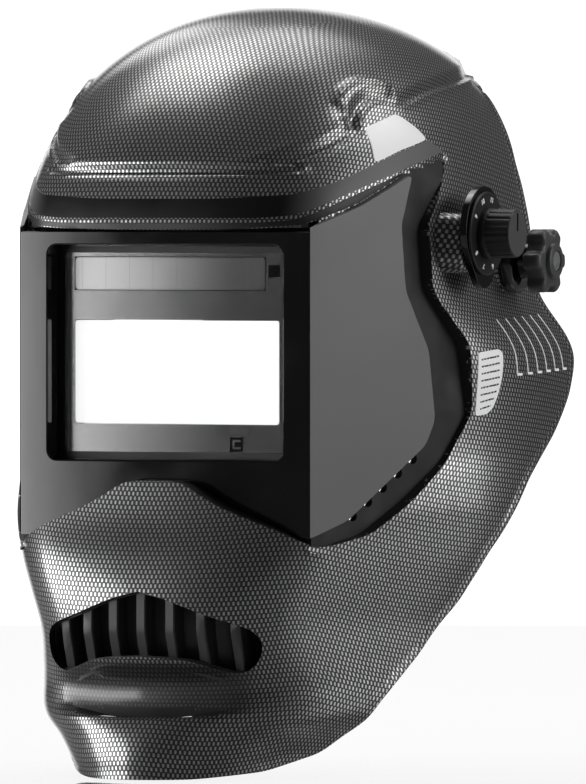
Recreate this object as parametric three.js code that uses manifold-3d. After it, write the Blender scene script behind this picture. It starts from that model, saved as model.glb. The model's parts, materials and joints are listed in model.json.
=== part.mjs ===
// Auto-darkening welding helmet: face shell, front panel with filter cartridge, external shade
// control, chin vent and ratchet headgear. Millimetres, +Z up, the face looks along -Y and +X is the
// wearer's left. The origin is the middle of the axis between the two side pivots.
import * as THREE from "three";
import { mergeVertices } from "three/addons/utils/BufferGeometryUtils.js";
import Module from "manifold-3d";

const wasm = await Module();
wasm.setup();

// ---------------------------------------------------------------- driving dimensions
const WALL = 2.6; // moulded wall of the shell
const GAP = 0.3; // clearance between neighbouring pieces
const SHELL_TOP = 103.5; // crown above the pivots
const DOME_POWER = 2.1; // how full the crown is, seen from the front
const REAR_DEPTH = 145; // depth the sections would have behind the pivots if they were not cut off
const WING_ANGLE = THREE.MathUtils.degToRad(65.4); // direction the flat cheeks face, from the front
const WING_SHARPNESS = 30; // how tightly the flat cheeks meet the round part
const RING_STEPS = 40; // points round one section of the shell
const CAP_LIFT = 1.2; // how far the cap over the brow stands out of the skin
const FAR = 140; // beyond the object on either side

// Horizontal sections of the shell: height, middle, front, half width, exponent, cheek distance.
const SECTIONS = [
  [103.5, -12, -138, 97, 2.3, 120],
  [62, -12, -138, 97, 2.35, 114],
  [40, -11, -138, 97, 2.6, 110],
  [25, -9, -138, 97, 3.0, 109.5],
  [0, -6, -138, 97, 3.2, 111.5],
  [-15, 0, -138, 98.5, 3.0, 115],
  [-38, 10, -137, 110, 2.4, 119.5],
  [-60, 10, -137, 111.5, 2.1, 119.5],
  [-80, 10, -137, 111, 2.1, 119.5],
  [-90, 10, -139, 111, 2.4, 119.3],
  [-105, 10, -143, 110.5, 2.6, 119.4],
  [-120, 10, -149, 107, 2.6, 117],
  [-135, 10, -152.5, 101, 2.5, 112.9],
  [-150, 10, -153, 95, 2.4, 109],
  [-163, 10, -149.5, 93, 2.3, 108.5],
  [-172, 10, -143.5, 92, 2.2, 109],
  [-179, 10, -147.5, 90, 2.1, 110],
  [-186, 10, -155.5, 86, 2.0, 112],
  [-193, 10, -159.5, 79.5, 2.0, 114],
  [-202, 10, -161, 70.5, 2.0, 116],
  [-211, 10, -160, 63, 2.0, 118],
];
const SECTION_HEIGHTS = [-214, -207, -200, -193, -186, -179, -172, -163, -150, -135, -119, -104, -90,
  -70, -52, -39, -27, -15, 0, 16, 30, 41, 54, 67, 79, 89, 96.5, 101.5];

// Side views, as [y, z]
const REAR_EDGE = [[60, 125], [53, 96], [45, 80], [33, 60], [22, 40], [21, 25], [23, 8], [28, -14],
  [36, -30], [37, -40], [29, -56], [12, -72], [-10, -89], [-25, -105], [-37, -120], [-46, -140],
  [-62, -160], [-83, -180], [-88, -189], [-98, -200], [-122, -207], [-150, -209.5], [-240, -210],
  [-240, 125]];
const OPENING = [[-190, 13], [-137, 13], [-125, 15], [-100, 23.5], [-68, 38], [-44, 42.5], [-67, 15],
  [-66, -11.5], [-49, -34], [-47, -62], [-60, -81], [-80, -97.6], [-100, -111], [-119, -115.6],
  [-190, -115.6]];
const VISOR = [[-190, 12.4], [-137, 12.4], [-125, 14.4], [-101, 22.5], [-71.6, 35.6], [-78.8, 15],
  [-77.9, -11.5], [-67.5, -36], [-66.1, -65], [-70.6, -75], [-107.9, -105], [-127, -112], [-190, -112]];
const LEDGE_HOLE = [[-190, 8], [-127, 8], [-101, 17], [-79, 28], [-85, 15], [-84, -11], [-74, -37],
  [-72.5, -62], [-77, -70], [-111, -98], [-128, -104], [-190, -104]];
const CAP = [[-240, 39.5], [-128, 39.5], [-112, 44.4], [-95, 54], [-66, 62], [38, 82], [90, 90],
  [90, 140], [-240, 140]];
const BELL = [[0, -89], [12, -89.6], [23, -95.5], [31, -99.5], [42, -104], [53, -108.5], [60, -112],
  [66, -115.4]]; // upper edge of the muzzle from the middle out, as [x, z]

// Plan line of the visor's front faces from the middle out, as [x, y], at the height VISOR_LEVEL.
// The outer ends lean in towards the crown by VISOR_LEAN per millimetre of height.
const VISOR_PLAN = [[0, -127], [65.5, -127], [74.1, -106.8], [93.5, -66], [103, -43]];
const VISOR_LEAN = [0, 0, 0.004, 0.058, 0.08];
const VISOR_LEVEL = -62;
const PANEL_HALF = 65.2; // half width of the front panel, where the side windows begin
const PANE = 2.2; // thickness of the front panel and the side windows
const WINDOW_REAR = { x: 110, y: -40 }; // beyond the outer rear corner of a side window

// Ledge of the shell behind the panel and the windows, with a row of holes along its lower rear
const LEDGE = { wall: 2.4, half: 64, low: -88, high: 14, front: -135, back: -100 };
const LEDGE_HOLES = { count: 5, radius: 2.2, y: -102.8, z: -103.3, stepY: 7.2, stepZ: 5.7 };
// Where the visor's lower corners stand proud of the skin and the shell fills in behind them
const CORNER = { half: 88, front: -128, back: -88, low: -119, high: -99, depth: 12 };

// Rear tip of the opening, which a recessed wall closes
const TIP = { inset: 0.8, front: -75, back: -40, low: 25, high: 48 };

// Filter cartridge and what holds it
const LENS_MIDDLE_Z = -37;
const FILTER = { width: 110, height: 90, depth: 9, front: -115.5 };
const VIEW = { width: 92, height: 42, z: -45 };
const COVER_LENS = { width: 110, height: 91, depth: 1, front: -118.5 };
const TUNNEL = { half: 52.5, top: 6.4, bottom: -80.4, radius: 3.5, rim: 2 };
const HOLDER = { width: 120, height: 98, front: -118.8, back: -104 };
const SOLAR = { x0: -46, x1: 40, z0: -11.5, z1: 1.8 };
const FACE = { width: 101.4, height: 81.4, depth: 1.1 }; // coated face plate of the cartridge
const INNER_LENS = { width: 106, height: 56, depth: 1 };
const SENSORS = [[27, -74.4, 3], [44, -3.8, 2.6]]; // x, z and half width
const CONTROL_X = [-26, 4]; // sensitivity and delay knobs on the back of the cartridge
const CONTROL_Z = -6;
const CONTROL = { stem: 2, radius: 5, tip: 4.6, stand: 3.3, slot: 1 };
const SCREWS = [[-57.5, 7.5], [57.5, 7.5], [-57.5, -81.5], [57.5, -81.5]];
const SCREW = { hole: 1.4, shank: 1.1, head: 2.2, slot: 0.6 };
const EAR = { x: 57, half: 3, z: -6, halfHeight: 2.5, reach: 4 }; // ears the clip swings on
const CLIP_WIRE = 0.8; // radius
// Left half of the clip from its ear to its middle, as [x, z]
const CLIP = [[57, EAR.z], [52, EAR.z], [50, EAR.z - 3], [50, -66], [46, -73], [30, -74]];

// Chin vent outline from the middle out, as [x, z]
const VENT = [[0, -133.5], [12, -136.5], [28, -142.5], [40, -146.5], [46, -150], [48, -155.5],
  [46.5, -161.5], [42.5, -165.5], [38, -166.5], [32, -165], [20, -161.5], [0, -160]];
const RIBS = 7;
const RIB_PITCH = 12.7;
const RIB = { half: 1.3, setBack: 2.6, levels: [-168, -159, -151, -143, -134], middleTop: -137 };
const TRAY_DEPTH = 12; // from the inside of the shell to the back of the vent's tray
const FLANGE = { wall: 2.2, width: 5, inset: 0.6 }; // rim of the grille behind the shell

// Shade control on the wearer's left and the side pivots
const SHADE = { y: -45, z: 11.4, boss: 103, plate: 106.3, dial: 107.8, knob: 121 };
const BOSS = { y: -46, z: 7.5, halfY: 15.5, halfZ: 11.5, radius: 7 };
const BOSS_LEVELS = [[88, 1.14], [97, 1.08], [101.5, 1.0], [103, 0.95]]; // x and scale
const SHADE_PLATE = { top: 18.4, topRise: 1, foot: 10, footDrop: 12.5 };
const SHADE_DIAL_RADIUS = 17.2;
const SHADE_KNOB = { foot: 10.6, grip: 9.8, end: 9, grooves: 8, groove: 1.1 };
const SHADE_BORE = { shell: 3.8, plate: 4.6, dial: 6, knob: 3.3 }; // radii of the holes for the shaft
const SHAFT = 3; // radius of the control's shaft
const CABLE_RADIUS = 1.5;
const CABLE_ROUTE = [[78.6, -44, 11.4], [76.5, -52, 12], [76, -66, 14], [70, -84, 17], [62, -95, 15],
  [54, -100, 7], [47, -102.5, 2.5], [46.5, -106.2, 2]];
const PIVOT = { seat: 98.3, root: 92, hole: 8.8, bolt: 8, boss: 14.5, collar: 26.8, star: 28.4 };
const BOLT_SQUARE = 8.6; // square neck of the bolt, which the headband and the stop plate turn on
const SQUARE_HOLE = 9.2;
const STOP_PLATE = { inner: 83.4, outer: 86.2, pin: 3, pinZ: 15.5, pinEnd: 90.5 };
const SPACER = { inner: 86.5, outer: 91.6, radius: 11 };
const STAR = { lobes: 6, lobe: 1.7, back: 109, front: 116.5, hub: 8, end: 119 };

// Headgear; angles run round from the forehead in degrees
const BAND = { half: 81, front: -88, rear: 96, wall: 2, forehead: 15, temple: 12, templeAngle: 88 };
const BAND_HEIGHT = { forehead: 24, temple: 6, dropAngle: 60 };
const TAIL_START = 118; // where the sliding tails begin
const TAIL_END = 197;
const TAIL = { wide: 11.8, narrow: 10, lap: 2.5, lapStart: 134, lapAngle: 12, slot: 24 };
const CROWN = { front: -4, back: 18, base: 14, rise: 74, top: 98, lap: 2.5, lapStart: 0.6, steps: 18 };
const PEG = { y: 7, hole: 2.7, shank: 2.3, head: 4.6 };
const RATCHET_Z = -27;
const RATCHET = { from: 157, to: 203, half: 17, inner: -2.6, cover: 2.2, outer: 4.9, depth: 6, steps: 14 };
const RAIL = { offset: 13.8, half: 3.2, depth: 5.5 };
const RATCHET_KNOB = { radius: 18.5, flute: 0.9, flutes: 12, back: 107.3, rim: 121, end: 124.5 };
const SWEATBAND = { angle: 60, half: 17.5, inner: -7.4, wall: 7 };

// ---------------------------------------------------------------- materials
const paint = (color, roughness, metalness = 0, opacity = 1) =>
  new THREE.MeshStandardMaterial({ color, roughness, metalness, opacity, transparent: opacity < 1 });
const wovenBlack = () => paint(0x24262a, 0.22);
const glossBlack = () => paint(0x0b0b0d, 0.12);
const mattBlack = () => paint(0x17181a, 0.6);
const greyPlastic = () => paint(0x6c6e72, 0.45);
const tintedPane = () => paint(0x5d5f63, 0.15, 0, 0.85);
const clearPane = () => paint(0xe8eef0, 0.05, 0, 0.25);
const coatedGlass = () => paint(0x8d9094, 0.12, 0.8);
const liquidCrystal = () => paint(0xf4f5f6, 0.1);
const solarCell = () => paint(0xa9acb0, 0.3, 0.3);
const steel = () => paint(0xb9bcc0, 0.3, 1);
const brass = () => paint(0xb99a55, 0.35, 1);
const softPad = () => paint(0x2b2c2f, 0.95);
const cableSleeve = () => paint(0x101012, 0.55);

// ---------------------------------------------------------------- solids
function solid(geometry) {
  const bare = (geometry.index ? geometry.toNonIndexed() : geometry).clone();
  bare.deleteAttribute("normal");
  bare.deleteAttribute("uv");
  const merged = mergeVertices(bare, 1e-4);
  const made = new wasm.Manifold(
    new wasm.Mesh({
      numProp: 3,
      vertProperties: merged.attributes.position.array,
      triVerts: new Uint32Array(merged.index.array),
    }),
  );
  return made;
}

function geometryOf(body) {
  const mesh = body.getMesh();
  const positions = new Float32Array(mesh.numVert * 3);
  for (let i = 0; i < mesh.numVert; i++) {
    positions.set(mesh.vertProperties.subarray(i * mesh.numProp, i * mesh.numProp + 3), i * 3);
  }
  const geometry = new THREE.BufferGeometry();
  geometry.setAttribute("position", new THREE.BufferAttribute(positions, 3));
  geometry.setIndex(new THREE.BufferAttribute(new Uint32Array(mesh.triVerts), 1));
  geometry.computeVertexNormals();
  return geometry;
}

const join = (...bodies) => bodies.reduce((a, b) => a.add(b));
const cut = (body, ...tools) => tools.reduce((a, b) => a.subtract(b), body);
const common = (...bodies) => bodies.reduce((a, b) => a.intersect(b));

// A closed skin over rings that all have the same number of points, with both ends closed.
// Rings may run either way round: the faces are turned outwards at the end.
function loft(rings) {
  const count = rings[0].length;
  const middle = (ring) => ring.reduce((a, p) => a.add(p), new THREE.Vector3()).divideScalar(count);
  const points = [...rings.flat(), middle(rings[0]), middle(rings.at(-1))];
  const first = rings.length * count;
  const last = first + 1;
  const index = [];
  for (let i = 0; i < count; i++) {
    const j = (i + 1) % count;
    for (let r = 0; r + 1 < rings.length; r++) {
      const a = r * count;
      const b = a + count;
      index.push(a + i, a + j, b + j, a + i, b + j, b + i);
    }
    const end = (rings.length - 1) * count;
    index.push(first, j, i, last, end + i, end + j);
  }
  const geometry = new THREE.BufferGeometry().setFromPoints(points);
  geometry.setIndex(index);
  const body = solid(geometry);
  if (body.volume() > 0) return body;
  return solid(geometry.setIndex(index.reverse()));
}

const shapeOf = (points) => new THREE.Shape(points.map(([a, b]) => new THREE.Vector2(a, b)));
const axis = (x, y, z) => new THREE.Vector3(x, y, z);

function extrude(shape, depth, basis, offset, curveSegments = 4) {
  const geometry = new THREE.ExtrudeGeometry(shape, { depth, bevelEnabled: false, curveSegments });
  geometry.applyMatrix4(new THREE.Matrix4().makeBasis(...basis).setPosition(offset));
  return solid(geometry);
}

// Prisms along the X and Y axes; the outline is [y, z] or [x, z].
const alongX = (shape, x0, x1) =>
  extrude(shape, x1 - x0, [axis(0, 1, 0), axis(0, 0, 1), axis(1, 0, 0)], axis(x0, 0, 0));
const alongY = (shape, y0, y1) =>
  extrude(shape, y1 - y0, [axis(1, 0, 0), axis(0, 0, 1), axis(0, -1, 0)], axis(0, y1, 0));

function box(x0, x1, y0, y1, z0, z1) {
  const geometry = new THREE.BoxGeometry(x1 - x0, y1 - y0, z1 - z0);
  geometry.translate((x0 + x1) / 2, (y0 + y1) / 2, (z0 + z1) / 2);
  return solid(geometry);
}

function roundedRect(x0, x1, z0, z1, radius) {
  const shape = new THREE.Shape();
  shape.absarc(x1 - radius, z0 + radius, radius, -Math.PI / 2, 0);
  shape.absarc(x1 - radius, z1 - radius, radius, 0, Math.PI / 2);
  shape.absarc(x0 + radius, z1 - radius, radius, Math.PI / 2, Math.PI);
  shape.absarc(x0 + radius, z0 + radius, radius, Math.PI, Math.PI * 1.5);
  return shape;
}

function disc(radius) {
  const shape = new THREE.Shape();
  shape.absarc(0, 0, radius, 0, Math.PI * 2);
  return shape;
}

// A turned piece about the X axis.
// The profile is [distance along the axis, radius], and starts and ends on the axis.
function turned(profile, steps = 18) {
  const points = profile.map(([along, radius]) => new THREE.Vector2(radius, along));
  const geometry = new THREE.LatheGeometry(points, steps);
  geometry.rotateZ(-Math.PI / 2);
  return geometry;
}
const turnedX = (profile, y = 0, z = 0, steps = 18) =>
  solid(turned(profile, steps).translate(0, y, z));
const turnedY = (profile, x = 0, z = 0, steps = 18) =>
  solid(turned(profile, steps).rotateZ(Math.PI / 2).translate(x, 0, z));
const rodX = (x0, x1, radius, y = 0, z = 0, steps = 18) =>
  turnedX([[x0, 0], [x0, radius], [x1, radius], [x1, 0]], y, z, steps);
const rodY = (y0, y1, radius, x = 0, z = 0, steps = 18) =>
  turnedY([[y0, 0], [y0, radius], [y1, radius], [y1, 0]], x, z, steps);

// Outline moved outwards by a distance (inwards when negative); the outline runs either way round.
function grow(points, distance) {
  const area = points.reduce((sum, [a, b], i) => {
    const [c, d] = points[(i + 1) % points.length];
    return sum + a * d - c * b;
  }, 0);
  const side = Math.sign(area) * distance;
  return points.map((p, i) => {
    const before = points[(i + points.length - 1) % points.length];
    const after = points[(i + 1) % points.length];
    const u = new THREE.Vector2(p[0] - before[0], p[1] - before[1]).normalize();
    const v = new THREE.Vector2(after[0] - p[0], after[1] - p[1]).normalize();
    const n = new THREE.Vector2(u.y + v.y, -u.x - v.x).normalize();
    const reach = side / Math.max(0.5, n.x * u.y - n.y * u.x);
    return [p[0] + n.x * reach, p[1] + n.y * reach];
  });
}

// Outline of a half and its mirror image, without repeated points.
const mirrored = (half) =>
  [...half, ...half.map(([a, b]) => [-a, b]).reverse()].filter(
    ([a, b], i, all) => i === 0 || Math.hypot(a - all[i - 1][0], b - all[i - 1][1]) > 1e-6,
  );

// ---------------------------------------------------------------- skin of the shell
// Smooth curve through the values of one column of SECTIONS.
function along(column, z) {
  const rows = SECTIONS;
  const height = Math.min(Math.max(z, rows.at(-1)[0]), rows[0][0]);
  const i = Math.min(rows.findLastIndex((row) => row[0] >= height), rows.length - 2);
  const slope = (k) => {
    const a = rows[Math.max(k - 1, 0)];
    const b = rows[Math.min(k + 1, rows.length - 1)];
    return (b[column] - a[column]) / (b[0] - a[0]);
  };
  const step = rows[i + 1][0] - rows[i][0];
  const t = (height - rows[i][0]) / step;
  return (
    rows[i][column] * (1 + 2 * t) * (1 - t) ** 2 +
    rows[i + 1][column] * t * t * (3 - 2 * t) +
    step * (slope(i) * t * (1 - t) ** 2 - slope(i + 1) * t * t * (1 - t))
  );
}

// Point of the skin at an angle round from the front, moved inwards by `inset`.
function skinPoint(angle, z, inset = 0) {
  const [middle, front, half, power, cheek] = [1, 2, 3, 4, 5].map((column) => along(column, z));
  const top = SHELL_TOP - inset;
  const crown = z > 0 ? (1 - Math.min(z / top, 1) ** DOME_POWER) ** (1 / DOME_POWER) : 1;
  const depth = (Math.cos(angle) < 0 ? REAR_DEPTH : middle - front) - inset;
  const round =
    (Math.abs(Math.sin(angle) / (half - inset)) ** power +
      Math.abs(Math.cos(angle) / depth) ** power) ** (-1 / power);
  const flat = (cheek - inset) / Math.max(Math.cos(Math.abs(angle) - WING_ANGLE), 1e-3);
  const reach = (round ** -WING_SHARPNESS + flat ** -WING_SHARPNESS) ** (-1 / WING_SHARPNESS);
  return axis(crown * reach * Math.sin(angle), middle - crown * reach * Math.cos(angle), z);
}

function skinRing(z, inset) {
  const ring = [];
  for (let i = 0; i < RING_STEPS; i++) {
    ring.push(skinPoint(Math.PI * (-1 + (2 * i) / RING_STEPS), z, inset));
  }
  return ring;
}

// Solid body bounded by the skin moved inwards by `inset`.
function skinBody(inset, heights = SECTION_HEIGHTS) {
  const top = SHELL_TOP - inset - 0.4;
  const levels = heights.filter((z) => z < top - 1).concat(top);
  return loft(levels.map((z) => skinRing(z, inset)));
}

// Front of the skin at a given x and height.
function skinFront(x, z, inset = 0) {
  let low = 0;
  let high = Math.PI / 2;
  for (let i = 0; i < 30; i++) {
    const angle = (low + high) / 2;
    if (skinPoint(angle, z, inset).x < Math.abs(x)) low = angle;
    else high = angle;
  }
  return skinPoint(low, z, inset).y;
}

// ---------------------------------------------------------------- shell
// Everything below the upper edge of the muzzle, moved up by `lift`.
function bellRegion(lift) {
  const half = BELL.map(([x, z]) => [x, z + lift]).reverse();
  const edge = mirrored(half);
  const [left, right] = [edge.at(-1)[0], edge[0][0]];
  return alongY(shapeOf([[right, -230], ...edge, [left, -230]]), -200, -90);
}
const openingBody = (outline, lift) => cut(alongX(shapeOf(outline), -FAR, FAR), bellRegion(lift));

// Right half of the visor's plan at a height, moved back by `back`.
function visorLine(z, back) {
  const line = VISOR_PLAN.map(([x, y], i) => [x - VISOR_LEAN[i] * Math.max(z - VISOR_LEVEL, 0), y]);
  return line.map(([x, y], i) => {
    const [x0, y0] = line[Math.max(i - 1, 0)];
    const [x1, y1] = line[Math.min(i + 1, line.length - 1)];
    const out = i === 0 ? new THREE.Vector2(0, -1) : new THREE.Vector2(y1 - y0, x0 - x1).normalize();
    return [x - out.x * back, y - out.y * back];
  });
}

// Everything behind the visor's faces after they are moved back by `back`.
function behindVisor(back) {
  const rings = [-FAR, VISOR_LEVEL, 60].map((z) => {
    const half = visorLine(z, back);
    const [edge] = half.at(-1);
    return [[-1, half[0][1]], ...half, [edge, 40], [-1, 40]].map(([x, y]) => axis(x, y, z));
  });
  const side = (sign) => loft(rings.map((ring) => ring.map((p) => axis(sign * p.x, p.y, p.z))));
  return join(side(1), side(-1));
}
const visorSlab = (front, back) => cut(behindVisor(front), behindVisor(back));

const ventPrism = (margin) => alongY(shapeOf(grow(mirrored(VENT), margin)), -200, -100);

function pivotBoss(side) {
  const [a, b] = [side * PIVOT.root, side * PIVOT.seat].sort((p, q) => p - q);
  return rodX(a, b, PIVOT.boss);
}

// Rounded boss that carries the shade control.
function shadeBoss() {
  const { y, z, halfY, halfZ, radius } = BOSS;
  const outline = roundedRect(-halfY, halfY, -halfZ, halfZ, radius).getPoints(4);
  const ring = (x, scale) => outline.map((p) => axis(x, y + p.x * scale, z + p.y * scale));
  return loft(BOSS_LEVELS.map(([x, scale]) => ring(x, scale)));
}

const cornerBlock = () =>
  common(
    box(-CORNER.half, CORNER.half, CORNER.front, CORNER.back, CORNER.low, CORNER.high),
    behindVisor(0),
  );

// Wall round the opening, from the skin back to the ledge that the visor rests on.
function makeReturnWall(outer) {
  const wide = openingBody(grow(OPENING, WALL), -WALL);
  const opening = openingBody(OPENING, 0);
  const ledgeBack = PANE + GAP + LEDGE.wall;
  const wall = cut(
    common(wide, join(outer, cornerBlock()), behindVisor(-14)),
    opening,
    behindVisor(ledgeBack),
  );
  const corners = cut(common(wide, cornerBlock()), opening, behindVisor(CORNER.depth));
  const holes = [];
  for (let i = 0; i < LEDGE_HOLES.count; i++) {
    const y = LEDGE_HOLES.y + LEDGE_HOLES.stepY * i;
    holes.push(rodX(-FAR, FAR, LEDGE_HOLES.radius, y, LEDGE_HOLES.z + LEDGE_HOLES.stepZ * i, 8));
  }
  const ledge = cut(
    common(visorSlab(PANE + GAP, ledgeBack), wide, join(skinBody(0.4), cornerBlock())),
    openingBody(LEDGE_HOLE, 6),
    box(-LEDGE.half, LEDGE.half, LEDGE.front, LEDGE.back, LEDGE.low, LEDGE.high),
    ...holes,
  );
  return join(wall, corners, ledge);
}

// Wall behind the rear tip of the opening, where the skin lies behind the windows.
function makeTipWall() {
  const layer = cut(skinBody(TIP.inset), skinBody(WALL));
  const room = box(-FAR, FAR, TIP.front, TIP.back, TIP.low, TIP.high);
  return common(openingBody(grow(OPENING, 0.5), 0), layer, room, behindVisor(PANE + GAP));
}

function makeShell() {
  const outer = skinBody(0);
  const high = SECTION_HEIGHTS.filter((z) => z >= 34);
  const cap = common(skinBody(-CAP_LIFT, high), alongX(shapeOf(CAP), -FAR, FAR));
  const inner = skinBody(WALL);
  const skin = cut(join(outer, cap), inner, openingBody(OPENING, 0));
  const hollow = join(skin, makeReturnWall(outer), makeTipWall());
  const boss = common(shadeBoss(), cut(skinBody(-30), inner));
  const drilled = cut(
    join(hollow, boss, pivotBoss(1), pivotBoss(-1)),
    ventPrism(0),
    rodX(-FAR, FAR, PIVOT.hole / 2),
    rodX(80, 120, SHADE_BORE.shell, SHADE.y, SHADE.z),
  );
  return common(drilled, alongX(shapeOf(REAR_EDGE), -FAR, FAR));
}

// ---------------------------------------------------------------- front panel and windows
function makeFrontPanel() {
  const { half, top, bottom, radius, rim } = TUNNEL;
  const plate = common(
    visorSlab(0, PANE),
    openingBody(VISOR, 0.5),
    box(-PANEL_HALF, PANEL_HALF, -140, -120, -118, 12.4),
  );
  const outline = roundedRect(-half - rim, half + rim, bottom - rim, top + rim, radius + 1.5);
  const collar = alongY(outline, -125.5, HOLDER.front - GAP);
  return cut(join(plate, collar), alongY(roundedRect(-half, half, bottom, top, radius), -150, -100));
}

const makeSideWindow = () =>
  common(
    visorSlab(0, PANE),
    openingBody(VISOR, 0.8),
    box(PANEL_HALF + GAP, WINDOW_REAR.x, VISOR_PLAN[0][1], WINDOW_REAR.y, -120, 40),
  );

// ---------------------------------------------------------------- filter cartridge
function lensPlate(width, height, front, depth, middle, radius) {
  const outline = roundedRect(-width / 2, width / 2, middle - height / 2, middle + height / 2, radius);
  return alongY(outline, front, front + depth);
}

function solarSlot(depth) {
  const { x0, x1, z0, z1 } = SOLAR;
  return box(x0 - GAP, x1 + GAP, FILTER.front - 2, FILTER.front + depth, z0 - GAP, z1 + GAP);
}

function makeFilterHousing() {
  const { width, height, depth, front } = FILTER;
  const knobs = CONTROL_X.map((x) => rodY(front + depth - 4.5, front + depth + 3, 2.4, x, CONTROL_Z));
  return cut(
    lensPlate(width, height, front, depth, LENS_MIDDLE_Z, 3),
    lensPlate(FACE.width + 2 * GAP, FACE.height + 2 * GAP, front - 1, 2.5, LENS_MIDDLE_Z, 2),
    lensPlate(VIEW.width + 1.2, VIEW.height + 1.2, front - 5, depth + 10, VIEW.z, 1.5),
    solarSlot(3.4),
    ...knobs,
  );
}

function makeFilterFace() {
  const front = FILTER.front + 0.1;
  const sensors = SENSORS.map(([x, z, r]) => box(x - r, x + r, front - 2, front + 3, z - r, z + r));
  return cut(
    lensPlate(FACE.width, FACE.height, front, FACE.depth, LENS_MIDDLE_Z, 1.8),
    lensPlate(VIEW.width + 2 * GAP, VIEW.height + 2 * GAP, front - 2, 6, VIEW.z, 1.3),
    solarSlot(3),
    ...sensors,
  );
}

const makeSensor = ([x, z, r]) => {
  const [front, half] = [FILTER.front + 0.3, r - GAP];
  return box(x - half, x + half, front, front + 0.9, z - half, z + half);
};

const makeLiquidCrystal = () =>
  lensPlate(VIEW.width, VIEW.height, FILTER.front + 0.2, 6.5, VIEW.z, 1);
const makeSolarStrip = () =>
  box(SOLAR.x0, SOLAR.x1, FILTER.front + 0.3, FILTER.front + 3, SOLAR.z0, SOLAR.z1);
function makeInnerLens() {
  const { width, height, depth } = INNER_LENS;
  return lensPlate(width, height, FILTER.front + FILTER.depth + GAP, depth, VIEW.z, 2);
}
const makeCoverLens = () =>
  lensPlate(COVER_LENS.width, COVER_LENS.height, COVER_LENS.front, COVER_LENS.depth, LENS_MIDDLE_Z, 2);

function makeControlKnob(x) {
  const back = FILTER.front + FILTER.depth;
  const { stem, radius, tip, stand, slot } = CONTROL;
  const profile = [[back - 4, 0], [back - 4, stem], [back + GAP, stem], [back + GAP, radius],
    [back + stand, tip], [back + stand, 0]];
  return cut(
    turnedY(profile, x, CONTROL_Z, 20),
    box(x - slot / 2, x + slot / 2, back + 2.5, back + 5, CONTROL_Z - 4, CONTROL_Z + 4),
  );
}

function makeLensHolder() {
  const { width, height, front, back } = HOLDER;
  const [low, high] = [EAR.z - EAR.halfHeight, EAR.z + EAR.halfHeight];
  const ears = [-1, 1].map((side) =>
    box(side * EAR.x - EAR.half, side * EAR.x + EAR.half, back - 1, back + EAR.reach, low, high),
  );
  const clipHoles = [-1, 1].map((side) =>
    rodX(side * EAR.x - 5, side * EAR.x + 5, CLIP_WIRE + GAP, back + 1.9, EAR.z, 10),
  );
  const room = { width: COVER_LENS.width + 0.8, height: COVER_LENS.height + 0.8, depth: 1 + 2 * GAP };
  return cut(
    join(lensPlate(width, height, front, back - front, LENS_MIDDLE_Z, 4), ...ears),
    lensPlate(TUNNEL.half * 2 - 9, FILTER.height - 6, front - 1, 4, LENS_MIDDLE_Z, 3),
    lensPlate(room.width, room.height, COVER_LENS.front - GAP, room.depth, LENS_MIDDLE_Z, 2.5),
    lensPlate(FILTER.width + 0.8, FILTER.height + 0.8, FILTER.front - 2, 30, LENS_MIDDLE_Z, 3),
    ...SCREWS.map(([x, z]) => rodY(front - 1, back + 6, SCREW.hole, x, z, 12)),
    ...clipHoles,
  );
}

function makeScrew([x, z]) {
  const { front, back } = HOLDER;
  const profile = [[front + 1, 0], [front + 1, SCREW.shank], [back + GAP, SCREW.shank],
    [back + GAP, SCREW.head], [back + 1.9, SCREW.head], [back + 1.9, 0]];
  const slot = box(x - SCREW.slot / 2, x + SCREW.slot / 2, back + 1.2, back + 3, z - 1.6, z + 1.6);
  return cut(turnedY(profile, x, z, 10), slot);
}

const wire = (curve, radius, steps) =>
  solid(new THREE.ExtrudeGeometry(disc(radius), { steps, extrudePath: curve, curveSegments: 4 }));

// Bent steel wire: it swings on the two ears and presses on the back of the cartridge.
function makeClip() {
  const y = HOLDER.back + 1.9;
  const corners = [...CLIP, ...CLIP.map(([x, z]) => [-x, z]).reverse()];
  const points = corners.map(([x, z]) => axis(x, y, z));
  return wire(new THREE.CatmullRomCurve3(points, false, "catmullrom", 0.02), CLIP_WIRE, 40);
}

// ---------------------------------------------------------------- chin vent
const CHIN_HEIGHTS = SECTION_HEIGHTS.filter((z) => z > -205 && z < -90);

// Layer behind the inside of the shell, between two depths, within an outline seen from the front.
function chinLayer(from, to, outline) {
  const layer = cut(
    skinBody(WALL + GAP + from, CHIN_HEIGHTS),
    skinBody(WALL + GAP + to, CHIN_HEIGHTS),
  );
  return common(layer, alongY(shapeOf(outline), -200, -100));
}

function makeRib(x) {
  const levels = RIB.levels.filter((z) => z < RIB.middleTop || Math.abs(x) < 20);
  const rings = levels.map((z) => {
    const front = skinFront(x, z, WALL + GAP) + RIB.setBack;
    const back = front + TRAY_DEPTH;
    return [
      axis(x - RIB.half, front, z),
      axis(x + RIB.half, front, z),
      axis(x + RIB.half, back, z),
      axis(x - RIB.half, back, z),
    ];
  });
  return common(loft(rings), chinLayer(0, TRAY_DEPTH - 1, grow(mirrored(VENT), 1.5)));
}

function makeVentGrille() {
  const outline = mirrored(VENT);
  const flange = cut(chinLayer(0, FLANGE.wall, grow(outline, FLANGE.width)), ventPrism(-FLANGE.inset));
  const tray = cut(
    chinLayer(0, TRAY_DEPTH, grow(outline, FLANGE.inset + 2)),
    chinLayer(-1, TRAY_DEPTH - 2, grow(outline, FLANGE.inset)),
  );
  const ribs = [];
  for (let i = 0; i < RIBS; i++) ribs.push(makeRib(RIB_PITCH * (i - (RIBS - 1) / 2)));
  return join(flange, tray, ...ribs);
}

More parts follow.
